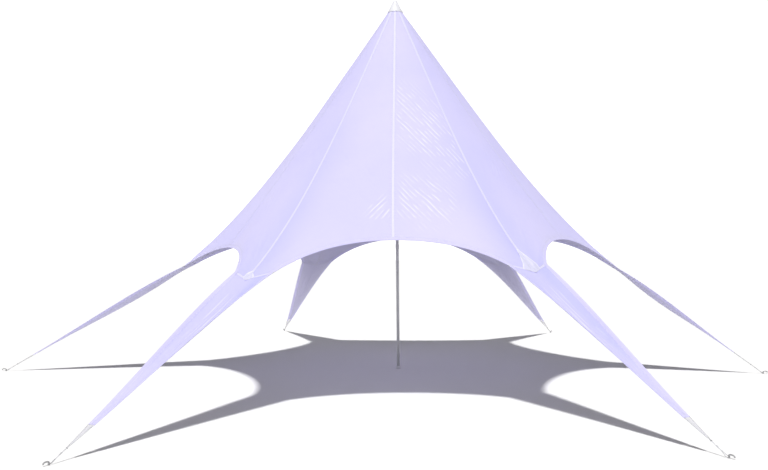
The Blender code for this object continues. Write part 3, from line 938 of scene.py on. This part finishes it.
def cutArm(arm):
    sides = np.linspace(-1.0, 1.0, armCut["columns"] + 1)[None, :]
    share = np.linspace(0.0, 1.0, armCut["rows"] + 1)[:, None]
    tip = tipOf(arm)
    wider = armCut["halfWidth"] - armCut["tipHalfWidth"]
    half = armCut["tipHalfWidth"] + wider * (1.0 - share) ** armCut["taper"]
    dish = armCut["dishDepth"] * 6.75 * share * (1.0 - share) ** 2
    start = -tent["cornerSetback"] * np.abs(sides)
    distance = start + (tip - start) * share
    chance = np.random.default_rng(armFolds["seed"] + arms.index(arm))
    lift = dish * (sides ** 2 - armCut["dishBalance"])
    spine = bell(sides * half, armFolds["spineWidth"]) * ramp(distance, *armFolds["spineStart"])
    folded = armFolds["spine"] * spine * (1.0 - ramp(distance, *armFolds["spineEnd"]))
    for index in range(armFolds["count"]):
        width, depth, reach = (chance.uniform(*armFolds[key]) for key in ("width", "depth", "reach"))
        lane, first = (chance.uniform(*armFolds[key]) for key in ("lane", "start"))
        faded = smoothStep((distance - first - 0.5 * reach) / reach)
        window = ramp(distance, first, armFolds["rise"]) * (1.0 - faded)
        folded = folded + depth * bell((sides - lane) * half, width) * window
    hold = ramp((1.0 - np.abs(sides)) * half, *armFolds["edgeMargin"])
    hold = hold * smoothStep(distance / armFolds["topMargin"])
    middle = armPoints(arm, distance, sides * half, lift - 0.5 * tent["solidDepth"] + folded * hold)
    outward = np.cross(np.gradient(middle, axis=0), np.gradient(middle, axis=1))
    outward = unit(outward * np.sign(rowDot(outward, -arm.under)))
    edgeGap = (1.0 - np.abs(sides)) * half + 0.0 * distance
    over, down = sides * half + 0.0 * distance, distance + 0.0 * sides
    cloth = {"cloth": pairUp(over, down), "creaseLine": pairUp(over, 0.4 * down)}
    # the crease down the middle of an arm: bumped, with a painted highlight and shade
    middleLane = bell(over, armShades["creaseReach"]) * ramp(down, *armShades["creaseStart"])
    # painted shade over the arm, heavier on one side and fading down the arm
    whole, more = armShades["paintedShade"]
    shadedSide = whole + more * ramp(over / half, *armShades["paintedShadeSide"])
    tipWear = ramp(share, *armShades["tipWear"]) + 0.0 * sides
    fields = {
        "creased": middleLane * (1.0 - ramp(down, *armShades["creaseEnd"])),
        "paintedShade": shadedSide * (1.0 - ramp(down, *armShades["paintedShadeEnd"])),
        "nearSeam": bell(edgeGap, armShades["seamReach"]),
        "nearEdge": np.maximum(bell(edgeGap, armShades["edgeWear"]), tipWear),
    }
    return Strip(arm, middle, outward, cloth, fields, half[:, 0])


strips = [cutArm(arm) for arm in arms]
for strip in strips:
    mesh = clothMesh(strip.arm.name + "_strip", strip)
    sheet = linkPiece(mesh)
    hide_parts(strip.arm.name + "_arm")


# Seams: a tape on each ridge, each mid seam and each cross seam, and a corner patch over each joint

tape = {
    "halfWidth": 0.019,
    "ridgeHalfWidth": 0.027,
    "thickness": 0.0011,
    "lift": 0.0017,
    "columns": 5,  # on each side of the seam line
    "ridgeReach": 40,  # net columns beside a ridge that its tape can lie on
    "crossReach": 16,
    "edgeShade": 0.0065,
    "stitchInset": 0.0050,
    "threadLift": 0.0002,  # a thread's middle above its tape
    "brightMid": ("front_bay", "back_bay"),  # bays whose mid seam has the pale tape
}

patchCut = {
    "halfWidth": 0.098,
    "above": 0.16,
    "below": 0.034,
    "larger": {"front_right": (0.150, 0.43), "back_left": (0.150, 0.36)},  # half width and reach up the ridge
    "thickness": 0.0013,
    "lift": 0.0031,
    "columns": 12,
    "reach": 60,
    "tipHalfWidth": 0.012,
    "edgeShade": 0.0130,
    "pleats": 3,
    "pleatDepth": 0.0050,
    "pleatStart": 0.08,
    "pleatReach": 0.09,
}


def walkLines(lines, distances):
    reach = runLengths(lines, 1)
    found = np.empty(distances.shape + (3,))
    for index, (line, run, wanted) in enumerate(zip(lines, reach, distances)):
        for axis in range(3):
            found[index, :, axis] = np.interp(wanted, run, line[:, axis])
    return found


def stripGrid(leftLines, rightLines, halfWidths, columns):
    shares = np.linspace(0.0, 1.0, columns + 1)
    distances = np.asarray(halfWidths)[:, None] * shares[None, :]
    left, right = walkLines(leftLines, distances), walkLines(rightLines, distances)
    grid = np.concatenate([left[:, :0:-1], right], axis=1)
    spread = np.concatenate([-distances[:, :0:-1], distances], axis=1)
    return grid, spread


def gridOutward(grid, reference):
    normal = np.cross(np.gradient(grid, axis=0), np.gradient(grid, axis=1))
    normal = normal * np.sign(rowDot(normal, reference[:, None, :]))
    length = np.linalg.norm(normal, axis=-1, keepdims=True)
    return np.where(length > 1e-12, normal / np.maximum(length, 1e-12), reference[:, None, :])


def stitchLines(grid, outward, spread, inset, lift):
    lines = []
    half = np.abs(spread).max(axis=1)
    for side in (-1.0, 1.0):
        wanted = side * np.maximum(half - inset, 0.0)
        share = (wanted - spread[:, 0]) / np.maximum(spread[:, -1] - spread[:, 0], 1e-9)
        share = share * (grid.shape[1] - 1)
        low = np.clip(np.floor(share).astype(int), 0, grid.shape[1] - 2)
        rest = (share - low)[:, None]
        rows = np.arange(len(grid))
        line = (1.0 - rest) * grid[rows, low] + rest * grid[rows, low + 1]
        lines.append(line + lift * outward[rows, low])
    return lines


stitchRuns = {owner.name: [] for owner in bays + arms}
trims = {owner.name: [] for owner in bays + arms}


def layTape(name, owner, sewnBy, lines, reference, halfWidths, cut, material, pleats=None):
    grid, spread = stripGrid(*lines, halfWidths, cut["columns"])
    outward = gridOutward(grid, reference)
    run = runLengths(grid, 0)[:, cut["columns"]][:, None] + 0.0 * spread
    rimGap = np.asarray(halfWidths)[:, None] - np.abs(spread)
    fields = {"nearEdge": bell(rimGap, cut["edgeShade"])}
    if pleats is not None:
        grid = grid + pleats(spread, run)[..., None] * outward
    cloth = {"cloth": pairUp(spread, run)}
    mesh = sheetMesh(name, grid, outward, cut["thickness"], cloth, fields, [material], cut["lift"])
    trims[owner].append(linkPiece(mesh))
    top = cut["lift"] + 0.5 * cut["thickness"] + tape["threadLift"]
    stitchRuns[sewnBy] += stitchLines(grid, outward, spread, tape["stitchInset"], top)


centre = bays[0].middle.shape[1] // 2

for index, bay in enumerate(bays):
    ridge, name, reach = bay.armA.name, bay.name, tape["ridgeReach"]
    lines = bays[index - 1].middle[:, ::-1][:, :reach], bay.middle[:, :reach]
    wide = np.full(len(bay.middle), tape["ridgeHalfWidth"])
    layTape(ridge + "_ridge_tape", ridge, name, lines, bay.outward[:, 0], wide, tape, seamTape)
    lines = bay.middle[:, :centre + 1][:, ::-1], bay.middle[:, centre:]
    wide = np.full(len(bay.middle), tape["halfWidth"])
    shade = seamTape if name in tape["brightMid"] else matchedTape
    layTape(name + "_mid_tape", name, name, lines, bay.outward[:, centre], wide, tape, shade)
print("ridge and mid tapes laid")


def crossSeam(index):
    strip, after, before = strips[index], bays[index], bays[index - 1]
    seam = canopy["seamColumns"] * canopy["columnSteps"]
    upLines = np.concatenate([before.middle[::-1, -seam - 1:-1], after.middle[::-1, :seam + 1]], axis=1)
    return (lines.transpose(1, 0, 2)[:, :tape["crossReach"]] for lines in (upLines, strip.middle))


def cornerPatch(index):
    strip, after, before = strips[index], bays[index], bays[index - 1]
    arm = strip.arm
    run = runLengths(after.middle, 0)[:, 0]
    halfWidth, above = patchCut["larger"].get(arm.name, (patchCut["halfWidth"], patchCut["above"]))
    rows = np.where(run[-1] - run <= above)[0]
    shareUp = 1.0 - (run[-1] - run[rows]) / above
    half = armCut["columns"] // 2
    armRun = np.linalg.norm(strip.middle[:, half] - strip.middle[0, half], axis=1)
    armRows = np.where((armRun > 0.004) & (armRun <= patchCut["below"]))[0]
    shareDown = 1.0 - armRun[armRows] / patchCut["below"]
    reach = patchCut["reach"]
    left = [before.middle[row, ::-1][:reach] for row in rows]
    left += [resampled(strip.middle[row, half::-1]) for row in armRows]
    right = [after.middle[row, :reach] for row in rows]
    right += [resampled(strip.middle[row, half:]) for row in armRows]
    tip = patchCut["tipHalfWidth"]
    widths = tip + (halfWidth - tip) * np.concatenate([shareUp, shareDown])
    reference = np.concatenate([after.outward[rows, 0], strip.outward[armRows, half]])
    return np.array(left), np.array(right), widths, reference


def resampled(line):
    run = lineRun(line)
    wanted = np.linspace(0.0, run[-1], patchCut["reach"])
    return np.stack([np.interp(wanted, run, line[:, axis]) for axis in range(3)], axis=-1)


def patchPleats(spread, run):
    bend = np.cos(math.tau * patchCut["pleats"] * np.abs(spread) / (2.0 * patchCut["halfWidth"]))
    pleat = patchCut["pleatDepth"] * 0.5 * (1.0 + bend)
    return pleat * smoothStep(run / patchCut["pleatStart"]) * bell(spread, patchCut["pleatReach"])


for index, strip in enumerate(strips):
    name, lines = strip.arm.name, tuple(crossSeam(index))
    wide = np.full(len(lines[0]), tape["halfWidth"])
    layTape(name + "_cross_tape", name, name, lines, strip.outward[0], wide, tape, seamTape)
    left, right, wide, reference = cornerPatch(index)
    layTape(name + "_corner_patch", name, name, (left, right), reference, wide, patchCut, cornerCloth,
            patchPleats)
print("cross seams and corner patches laid")


# Tabs: flat webbing sewn on the tip of each arm, between its two cables

tab = {"overlap": 0.075, "thickness": 0.0028, "lift": 0.0026, "crown": 0.0016, "widthShare": 0.72,
       "columns": 8, "stitchInset": 0.0035}


def makeTab(strip):
    arm = strip.arm
    tip = tipOf(arm)
    distance = np.linspace(tip - tab["overlap"], tip + armCut["tabLength"], armCut["tabRows"])
    share = np.clip((distance - tip) / armCut["tabLength"], 0.0, 1.0)
    half = tabHalf(share)
    widest = armCut["tipHalfWidth"] * tab["widthShare"]
    half = np.where(distance < tip, widest, np.minimum(half, widest))
    sides = np.linspace(-1.0, 1.0, tab["columns"] + 1)
    level = -0.5 * tent["solidDepth"] - tab["lift"] * (1.0 - smoothStep((distance - tip) / 0.05))
    lift = level[:, None] + tab["crown"] * (1.0 - sides[None, :] ** 2)
    grid = armPoints(arm, distance[:, None] + 0.0 * sides, half[:, None] * sides, lift)
    outward = np.broadcast_to(-arm.under, grid.shape)
    spread = half[:, None] * sides[None, :]
    run = (distance - distance[0])[:, None] + 0.0 * spread
    cloth = {"cloth": pairUp(spread, run)}
    mesh = sheetMesh(arm.name + "_tab", grid, outward, tab["thickness"], cloth, {}, [tabWebbing])
    trims[arm.name].append(linkPiece(mesh))
    top = 0.5 * tab["thickness"] + tape["threadLift"]
    bare = distance > tip
    edges = stitchLines(grid[bare], outward[bare], spread[bare], tab["stitchInset"], top)
    sewn = distance < tip - 0.004
    box = grid[sewn][:, 1:-1] + (tab["lift"] + top) * outward[sewn][:, 1:-1]
    crossed = [smoothLine([box[0, end], box[-1, -1 - end]], 0.01) for end in (0, -1)]
    stitchRuns[arm.name] += edges + crossed + [box[-1], box[0]]


for strip in strips:
    makeTab(strip)
print("tabs sewn on")


# Hems: the sleeve that the edge cable runs in, folded back and sewn down inside the edge

hem = {
    "width": 0.042,
    "fold": 0.0048,  # radius of the fold round the cable
    "rise": 0.0021,  # half thickness where it is sewn down
    "pucker": 0.0009,
    "puckerPitch": 0.11,
    "spacing": 2,  # net columns or strip rows for each ring of the sleeve
    "stitchRows": (0.004, 0.011),
    "threadLift": 0.0007,
    "armShare": 0.62,  # of an arm's half width, where the sleeve has less room
}


def edgePath(bay):
    seam = canopy["seamColumns"] * canopy["columnSteps"]
    stripA, stripB = strips[arms.index(bay.armA)], strips[arms.index(bay.armB)]
    arch = slice(seam + 1, bay.middle.shape[1] - seam - 1)
    edge = np.vstack([stripA.middle[::-1, -1], bay.middle[-1, arch], stripB.middle[:, 0]])
    inner = np.vstack([stripA.middle[::-1, -5], bay.middle[-3, arch], stripB.middle[:, 4]])
    outward = np.vstack([stripA.outward[::-1, -3], bay.outward[-3, arch], stripB.outward[:, 2]])
    room = np.concatenate([stripA.half[::-1], np.full(arch.stop - arch.start, 1.0), stripB.half])
    return edge, inner, outward, room


def averaged(vectors, reach=4):
    padded = np.concatenate([np.repeat(vectors[:1], reach, axis=0), vectors,
                             np.repeat(vectors[-1:], reach, axis=0)])
    width = 2 * reach + 1
    return np.mean([padded[shift:shift + len(vectors)] for shift in range(width)], axis=0)


def hemFrames(edge, inner, outward):
    along = unit(averaged(tangentsOf(edge), 2))
    inward = inner - edge
    inward = unit(inward - rowDot(inward, along) * along)
    inward = averaged(inward)
    inward = unit(inward - rowDot(inward, along) * along)
    normal = np.cross(along, inward)
    normal = normal * np.sign(rowDot(normal, outward).sum())
    return along, inward, unit(normal)


def hemSide(width, bump):
    fold, rise = hem["fold"], hem["rise"]
    return [(width + 0.003, 0.6 * rise), (width, rise), (0.72 * width, rise + 0.0006 + 0.5 * bump),
            (0.40 * width, rise + 0.0014 + bump), (0.16 * width, 0.90 * fold), (0.0, fold)]


def sleeveRings(edge, inward, normal, widths):
    run = lineRun(edge)
    gap = cable["radius"] + cable["hemGap"]
    fold = hem["fold"]
    ripple = hem["pucker"] * np.sin(math.tau * run / hem["puckerPitch"] + 2.0 * np.sin(run * 1.7))
    bend = np.radians(90.0 + 30.0 * np.arange(1, 6))
    rings = []
    for point, inwards, up, width, bump in zip(edge, inward, normal, widths, ripple):
        over = hemSide(width, bump)
        under = [(x, -y) for x, y in reversed(hemSide(width, -bump))]
        turned = [fold * (math.cos(angle) * inwards + math.sin(angle) * up) for angle in bend]
        over, under = ([(gap * (x > fold) + x, y) for x, y in part] for part in (over, under))
        over, under = ([x * inwards + y * up for x, y in part] for part in (over, under))
        rings.append(point - gap * inwards + np.array(over + turned + under))
    return np.array(rings)


hemPaths = {}
for bay in bays:
    edge, inner, outward, room = edgePath(bay)
    along, inward, normal = hemFrames(edge, inner, outward)
    hemPaths[bay.name] = (edge, along, inward, normal)
    keep = np.unique(np.append(np.arange(0, len(edge), hem["spacing"]), len(edge) - 1))
    widths = np.minimum(hem["width"], hem["armShare"] * room)
    rings = sleeveRings(edge[keep], inward[keep], normal[keep], widths[keep])
    around = np.zeros(rings.shape[:2])
    around[:, [0, 1, -2, -1]] = 1.0
    plain = 0.0 * around
    fields = {"nearSeam": 0.9 * around, "nearEdge": 0.35 + 0.5 * around, "creased": plain, "paintedShade": plain}
    sleeve = loftMesh(bay.name + "_hem", rings, canopyCloth, fields, 60.0)
    trims[bay.name].append(linkPiece(sleeve))
    for inset in hem["stitchRows"]:
        reachIn = (widths - inset)[:, None]
        stitchRuns[bay.name].append(edge + reachIn * inward + (hem["rise"] + hem["threadLift"]) * normal)
print("hems folded:", len(hemPaths))


# Stitching: every seam line carries a running stitch

stitch = {"pitch": 0.0105, "length": 0.0068, "radius": 0.00075, "sides": 5, "jitter": 0.12, "seed": 3}


def openTree(name, sockets):
    tree = bpy.data.node_groups.new(name, "GeometryNodeTree")
    face = tree.interface
    face.new_socket("Geometry", in_out="INPUT", socket_type="NodeSocketGeometry")
    inputs = {}
    for key, kind in sockets.items():
        inputs[key] = face.new_socket(key, in_out="INPUT", socket_type="NodeSocket" + kind).identifier
    face.new_socket("Geometry", in_out="OUTPUT", socket_type="NodeSocketGeometry")
    return tree, inputs, addNode(tree, "NodeGroupInput").outputs


def closeTree(tree, spread, material):
    real = addNode(tree, "GeometryNodeRealizeInstances", {0: spread.outputs[0]}).outputs[0]
    done = addNode(tree, "GeometryNodeSetMaterial", {"Geometry": real, "Material": material})
    tree.links.new(done.outputs[0], addNode(tree, "NodeGroupOutput").inputs[0])


def stitchTree():
    sockets = {"Pitch": "Float", "Length": "Float", "Radius": "Float", "Sides": "Int", "Jitter": "Float",
               "Seed": "Int", "Thread": "Material"}
    tree, inputs, given = openTree("runningStitch", sockets)
    line = addNode(tree, "GeometryNodeMeshToCurve", {0: given["Geometry"]}).outputs[0]
    spacing = {"Curve": line, "Length": given["Pitch"]}
    spaced = addNode(tree, "GeometryNodeResampleCurve", spacing, mode="LENGTH").outputs[0]
    shape = {"Vertices": given["Sides"], "Radius": given["Radius"], "Depth": given["Length"]}
    thread = addNode(tree, "GeometryNodeMeshCylinder", shape).outputs[0]
    tangent = addNode(tree, "GeometryNodeInputTangent").outputs[0]
    turn = addNode(tree, "FunctionNodeAlignRotationToVector", {"Vector": tangent}, axis="Z").outputs[0]
    limits = {2: calc(tree, "SUBTRACT", 1.0, given["Jitter"]), 3: calc(tree, "ADD", 1.0, given["Jitter"])}
    size = addNode(tree, "FunctionNodeRandomValue", {**limits, "Seed": given["Seed"]}, data_type="FLOAT")
    placing = {"Points": spaced, "Instance": thread, "Rotation": turn, "Scale": size.outputs[1]}
    closeTree(tree, addNode(tree, "GeometryNodeInstanceOnPoints", placing), given["Thread"])
    return tree, inputs


def lineObject(name, lines):
    points, edges = [], []
    for line in lines:
        start = len(points)
        points += line.tolist()
        edges += [(start + step, start + step + 1) for step in range(len(line) - 1)]
    mesh = bpy.data.meshes.new(name)
    mesh.from_pydata(points, edges, [])
    path = bpy.data.objects.new(name, mesh)
    bpy.context.scene.collection.objects.link(path)
    return path


def growMesh(path, tree, settings, name):
    grow = path.modifiers.new("grow", "NODES")
    grow.node_group = tree
    for identifier, value in settings.items():
        grow[identifier] = value
    bpy.context.view_layer.update()
    graph = bpy.context.evaluated_depsgraph_get()
    mesh = bpy.data.meshes.new_from_object(path.evaluated_get(graph))
    bpy.data.objects.remove(path, do_unlink=True)
    mesh.name = name
    return mesh


sewing, sewingInputs = stitchTree()
stitchCount = 0
for index, (owner, lines) in enumerate(stitchRuns.items()):
    given = [stitch[key] for key in ("pitch", "length", "radius", "sides", "jitter")]
    settings = dict(zip(sewingInputs.values(), given + [stitch["seed"] + index, seamThread]))
    mesh = growMesh(lineObject(owner + "_seam_lines", lines), sewing, settings, owner + "_stitches")
    trims[owner].append(linkPiece(mesh))
    stitchCount += len(mesh.vertices) // (2 * stitch["sides"])
print("stitches sewn:", stitchCount)


# Edge ropes: wire rope from peg to peg inside each bay's hem, six strands laid round a core

rope = {
    "strands": 6,
    "around": 18,
    "depth": 0.00055,
    "lay": 0.036,  # metres for one turn of a strand
    "fine": 0.0042,
    "coarse": 3,  # hem points for each ring where the rope is hidden
    "shown": 6,  # hem points at each end that stay finely modelled
}


def pegEye(arm, side):
    outward = unit(arm.along * np.array([1.0, 1.0, 0.0]))
    hub = arm.peg + upward(cable["height"] + side * cable["eyeStack"])
    turn = cable["pegRadius"] + cable["radius"] + cable["clearance"]
    angles = np.radians(90.0 - 22.5 * np.arange(7))
    return [hub + turn * (math.cos(a) * outward + side * math.sin(a) * arm.side) for a in angles]


def gatheredRun(arm, side):
    clamp = arm.length - armCut["freeCable"] + cable["gatherRun"]
    sideways = side * (cable["radius"] + cable["clearance"])
    stops = (clamp - 0.2 * cable["gatherRun"], clamp + 0.2 * cable["gatherRun"],
             arm.length - cable["partingRun"])
    return [armPoints(arm, stop, sideways, -0.5 * tent["solidDepth"]) for stop in stops]


def tabEdge(arm, side):
    tip = tipOf(arm)
    share = np.linspace(0.0, 1.0, 9)[1:]
    sideways = side * (tabHalf(share) + cable["radius"] + cable["hemGap"])
    return armPoints(arm, tip + armCut["tabLength"] * share, sideways, -0.5 * tent["solidDepth"])


def layRope(bay):
    edge, along, inward, normal = hemPaths[bay.name]
    hidden = edge - (cable["radius"] + cable["hemGap"]) * inward
    endA = pegEye(bay.armA, 1)[::-1] + gatheredRun(bay.armA, 1)[::-1] + list(tabEdge(bay.armA, 1)[::-1])
    endB = list(tabEdge(bay.armB, -1)) + gatheredRun(bay.armB, -1) + pegEye(bay.armB, -1)
    shown = rope["shown"]
    core = hidden[shown:-shown:rope["coarse"]]
    lineA = smoothLine(np.vstack([endA, hidden[:shown]]), rope["fine"])
    lineB = smoothLine(np.vstack([hidden[-shown:], endB]), rope["fine"])
    line = np.vstack([lineA, core, lineB])
    side, up = carriedFrames(line)
    run = lineRun(line)
    visible = np.concatenate([np.ones(len(lineA)), np.zeros(len(core)), np.ones(len(lineB))])
    angles = fullTurn(rope["around"])
    turn = math.tau * run / rope["lay"] * visible
    swirl = np.cos(0.5 * rope["strands"] * (angles[None, :] - turn[:, None]))
    radius = cable["radius"] - rope["depth"] * (1.0 - np.abs(swirl)) * visible[:, None]
    turned = np.cos(angles)[:, None] * side[:, None, :] + np.sin(angles)[:, None] * up[:, None, :]
    rings = line[:, None, :] + radius[..., None] * turned
    piece = linkPiece(loftMesh(bay.name + "_rope", rings, wireSteel, crisp=80.0))
    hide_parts(bay.name + "_edge_cable")
    return piece


ropes = {bay.name: layRope(bay) for bay in bays}
print("edge ropes laid:", len(ropes))


# Press sleeves that hold each arm's two ropes together just above the peg

pressSleeve = {"before": 0.150, "length": 0.026, "wall": 0.0016, "grooves": 3, "grooveDepth": 0.0006,
               "rounding": 0.28, "squareness": 0.75, "stations": 33, "around": 28}


def makePressSleeve(arm):
    start = arm.length - pressSleeve["before"]
    stations = np.linspace(0.0, 1.0, pressSleeve["stations"])
    angles = fullTurn(pressSleeve["around"])
    half = cable["radius"] + pressSleeve["wall"]
    rounding = 1.0 - pressSleeve["rounding"] * (np.abs(2.0 * stations - 1.0) ** 10)
    pressed = pressSleeve["grooveDepth"] * (0.5 - 0.5 * np.cos(math.tau * pressSleeve["grooves"] * stations))
    rings = []
    for share, full, groove in zip(stations, rounding, pressed):
        tall = (half - groove) * full
        wide = (half + cable["radius"] + cable["clearance"]) * full
        squared = np.sign(np.cos(angles)) * np.abs(np.cos(angles)) ** pressSleeve["squareness"]
        station = start + pressSleeve["length"] * share + 0.0 * angles
        lift = tall * np.sin(angles) - 0.5 * tent["solidDepth"]
        rings.append(armPoints(arm, station, wide * squared, lift))
    return linkPiece(loftMesh(arm.name + "_press_sleeve", np.array(rings), wireSteel))


for arm in arms:
    makePressSleeve(arm)
print("press sleeves fitted")


# Peak cap: a turned shell drawn in a little from the solid, with a rolled rim, and the screws round it

cap = {
    "rimRadius": 0.124,
    "rimHeight": 5.700,
    "top": 5.904,
    "roundRadius": 0.042,
    "wall": 0.003,
    "bead": 0.0025,
    "seamRing": 0.80,  # share of the way down the cone where a moulded step runs
    "step": 0.0018,
    "screws": 8,
    "screwRise": 0.026,  # above the rim
    "screwProud": 0.0035,
    "screwRadius": 0.0055,
    "screwDepth": 0.0030,
}


def capProfile():
    outer = [(0.0004, cap["top"])]
    for step in range(1, 13):
        angle = math.radians(60.0 * step / 12.0)
        sunk = cap["roundRadius"] * (1.0 - math.cos(angle))
        outer.append((cap["roundRadius"] * math.sin(angle), cap["top"] - sunk))
    last = outer[-1]
    for share in (0.25, 0.5, cap["seamRing"] - 0.012, cap["seamRing"], cap["seamRing"] + 0.10, 0.94):
        radius = last[0] + (cap["rimRadius"] - last[0]) * share
        height = last[1] + (cap["rimHeight"] + cap["bead"] - last[1]) * share
        grown = cap["step"] if share >= cap["seamRing"] else 0.0
        outer.append((radius + grown, height + 0.4 * grown))
    for step in range(9):
        angle = math.radians(70.0 - 28.0 * step)
        radius, height = cap["bead"] * math.cos(angle), cap["bead"] * math.sin(angle)
        outer.append((cap["rimRadius"] + radius, cap["rimHeight"] + height))
    wall = cap["wall"]
    inner = [(radius - 1.3 * wall, height - wall) for radius, height in outer[13:2:-3] if radius > 0.02]
    return outer + inner + [(0.0004, cap["top"] - 4.0 * wall)]


def screwTree():
    sockets = {"Count": "Int", "Ring Radius": "Float", "Height": "Float", "Rise": "Float",
               "Head Radius": "Float", "Head Depth": "Float", "Metal": "Material"}
    tree, inputs, given = openTree("screwRing", sockets)
    shape = {"Vertices": given["Count"], "Radius": given["Ring Radius"]}
    circle = addNode(tree, "GeometryNodeMeshCircle", shape).outputs[0]
    raised = addNode(tree, "ShaderNodeCombineXYZ", {2: given["Height"]}).outputs[0]
    placed = addNode(tree, "GeometryNodeTransform", {"Geometry": circle, "Translation": raised}).outputs[0]
    place = addNode(tree, "GeometryNodeInputPosition").outputs[0]
    level = stretchVector(tree, place, (1.0, 1.0, 0.0))
    radial = addNode(tree, "ShaderNodeVectorMath", {0: level}, operation="NORMALIZE").outputs[0]
    rise = addNode(tree, "ShaderNodeCombineXYZ", {2: given["Rise"]}).outputs[0]
    aim = addNode(tree, "ShaderNodeVectorMath", {0: radial, 1: rise}, operation="ADD").outputs[0]
    turn = addNode(tree, "FunctionNodeAlignRotationToVector", {"Vector": aim}, axis="Z").outputs[0]
    shape = {"Vertices": 20, "Radius Top": calc(tree, "MULTIPLY", given["Head Radius"], 0.62),
             "Radius Bottom": given["Head Radius"], "Depth": given["Head Depth"]}
    head = addNode(tree, "GeometryNodeMeshCone", shape).outputs[0]
    placing = {"Points": placed, "Instance": head, "Rotation": turn}
    closeTree(tree, addNode(tree, "GeometryNodeInstanceOnPoints", placing), given["Metal"])
    return tree, inputs


screws, screwInputs = screwTree()


def screwRing(name, part, radius, height, rise):
    given = (part["screws"], radius, height, rise, part["screwRadius"], part["screwDepth"], mastAluminium)
    settings = dict(zip(screwInputs.values(), given))
    mesh = growMesh(lineObject(name + "_seat", [np.zeros((2, 3))]), screws, settings, name)
    mesh.shade_smooth()
    mesh.set_sharp_from_angle(angle=math.radians(30.0))
    return linkPiece(mesh)


peakCap = linkPiece(turnedMesh("cap_shell", capProfile(), capPlastic, 96))
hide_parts("peak_cap")
coneDrop = abs(cap["rimHeight"] - (cap["top"] - 0.5 * cap["roundRadius"]))
slope = coneDrop / (cap["rimRadius"] - 0.866 * cap["roundRadius"])
screwHeight = cap["rimHeight"] + cap["screwRise"]
screwReach = cap["rimRadius"] - (screwHeight - cap["rimHeight"]) / slope + cap["screwProud"]
screwRing("cap_screws", cap, screwReach, screwHeight, 1.0 / slope)
print("cap and its screws fitted")


# Mast: the turned tubes keep their solids; a coupling collar covers each break

collar = {
    "breaks": (1.950, 3.850),
    "tubeRadius": 0.024,
    "clearance": 0.0003,
    "radius": 0.0272,
    "half": 0.036,
    "lip": 0.0032,
    "band": 0.0014,  # the raised ring on the break itself
    "around": 64,
    "screws": 3,
    "screwRise": 0.018,
    "screwProud": 0.0008,
    "screwRadius": 0.0040,
    "screwDepth": 0.0026,
}


def makeCollar(name, height):
    radius, half, lip = collar["radius"], collar["half"], collar["lip"]
    inside, raised = collar["tubeRadius"] + collar["clearance"], radius + collar["band"]
    above = [(inside, half), (radius - lip, half), (radius, half - lip), (radius, 0.004), (raised, 0.0025)]
    profile = np.array(above + [(wide, -rise) for wide, rise in reversed(above)])
    angles = fullTurn(collar["around"])
    rings = np.stack([np.outer(np.cos(angles), profile[:, 0]), np.outer(np.sin(angles), profile[:, 0]),
                      np.repeat(height + profile[None, :, 1], collar["around"], axis=0)], axis=-1)
    points = rings.reshape(-1, 3)
    quads = gridQuads(collar["around"] + 1, len(profile), wrap=True) % len(points)
    if turnedInside(points, quads):
        quads = quads[:, ::-1]
    return finishMesh(name, points, quads.tolist(), [mastAluminium], crisp=35.0)


for index, height in enumerate(collar["breaks"]):
    name = "mast_collar_" + str(index + 1)
    linkPiece(makeCollar(name, height))
    reach = collar["radius"] + collar["screwProud"]
    screwRing(name + "_screws", collar, reach, height + collar["screwRise"], 0.0)


def repaint(node, material):
    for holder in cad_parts[node].material_slots:
        holder.material = material


for node in ("mast_lower", "mast_middle", "mast_upper", "mast_head"):
    repaint(node, mastAluminium)
repaint("mast_foot", footPlastic)
for arm in arms:
    repaint(arm.name + "_peg", pegSteel)
    repaint(arm.name + "_clamp", wireSteel)
print("mast, foot, pegs and clamps finished")


# Floor

def makeFloor():
    material, tree, shader = newMaterial("paleFloor")
    mottle = noise(tree, objectPlace(tree), 0.35, 3.0)
    pale = studio["floorColour"]
    colour = blendColours(tree, mottle, pale, tuple(0.985 * part for part in pale))
    tree.links.new(colour, shader.inputs["Base Color"])
    shader.inputs["Roughness"].default_value = 0.9
    shader.inputs["Specular IOR Level"].default_value = 0.1
    reach = studio["floorRadius"]
    points = [(reach * math.cos(angle), reach * math.sin(angle), 0.0) for angle in fullTurn(96)]
    mesh = bpy.data.meshes.new("studioFloor")
    mesh.from_pydata(points, [], [list(range(len(points)))])
    mesh.materials.append(material)
    floor = bpy.data.objects.new("studioFloor", mesh)
    bpy.context.scene.collection.objects.link(floor)


makeFloor()
print("floor laid")
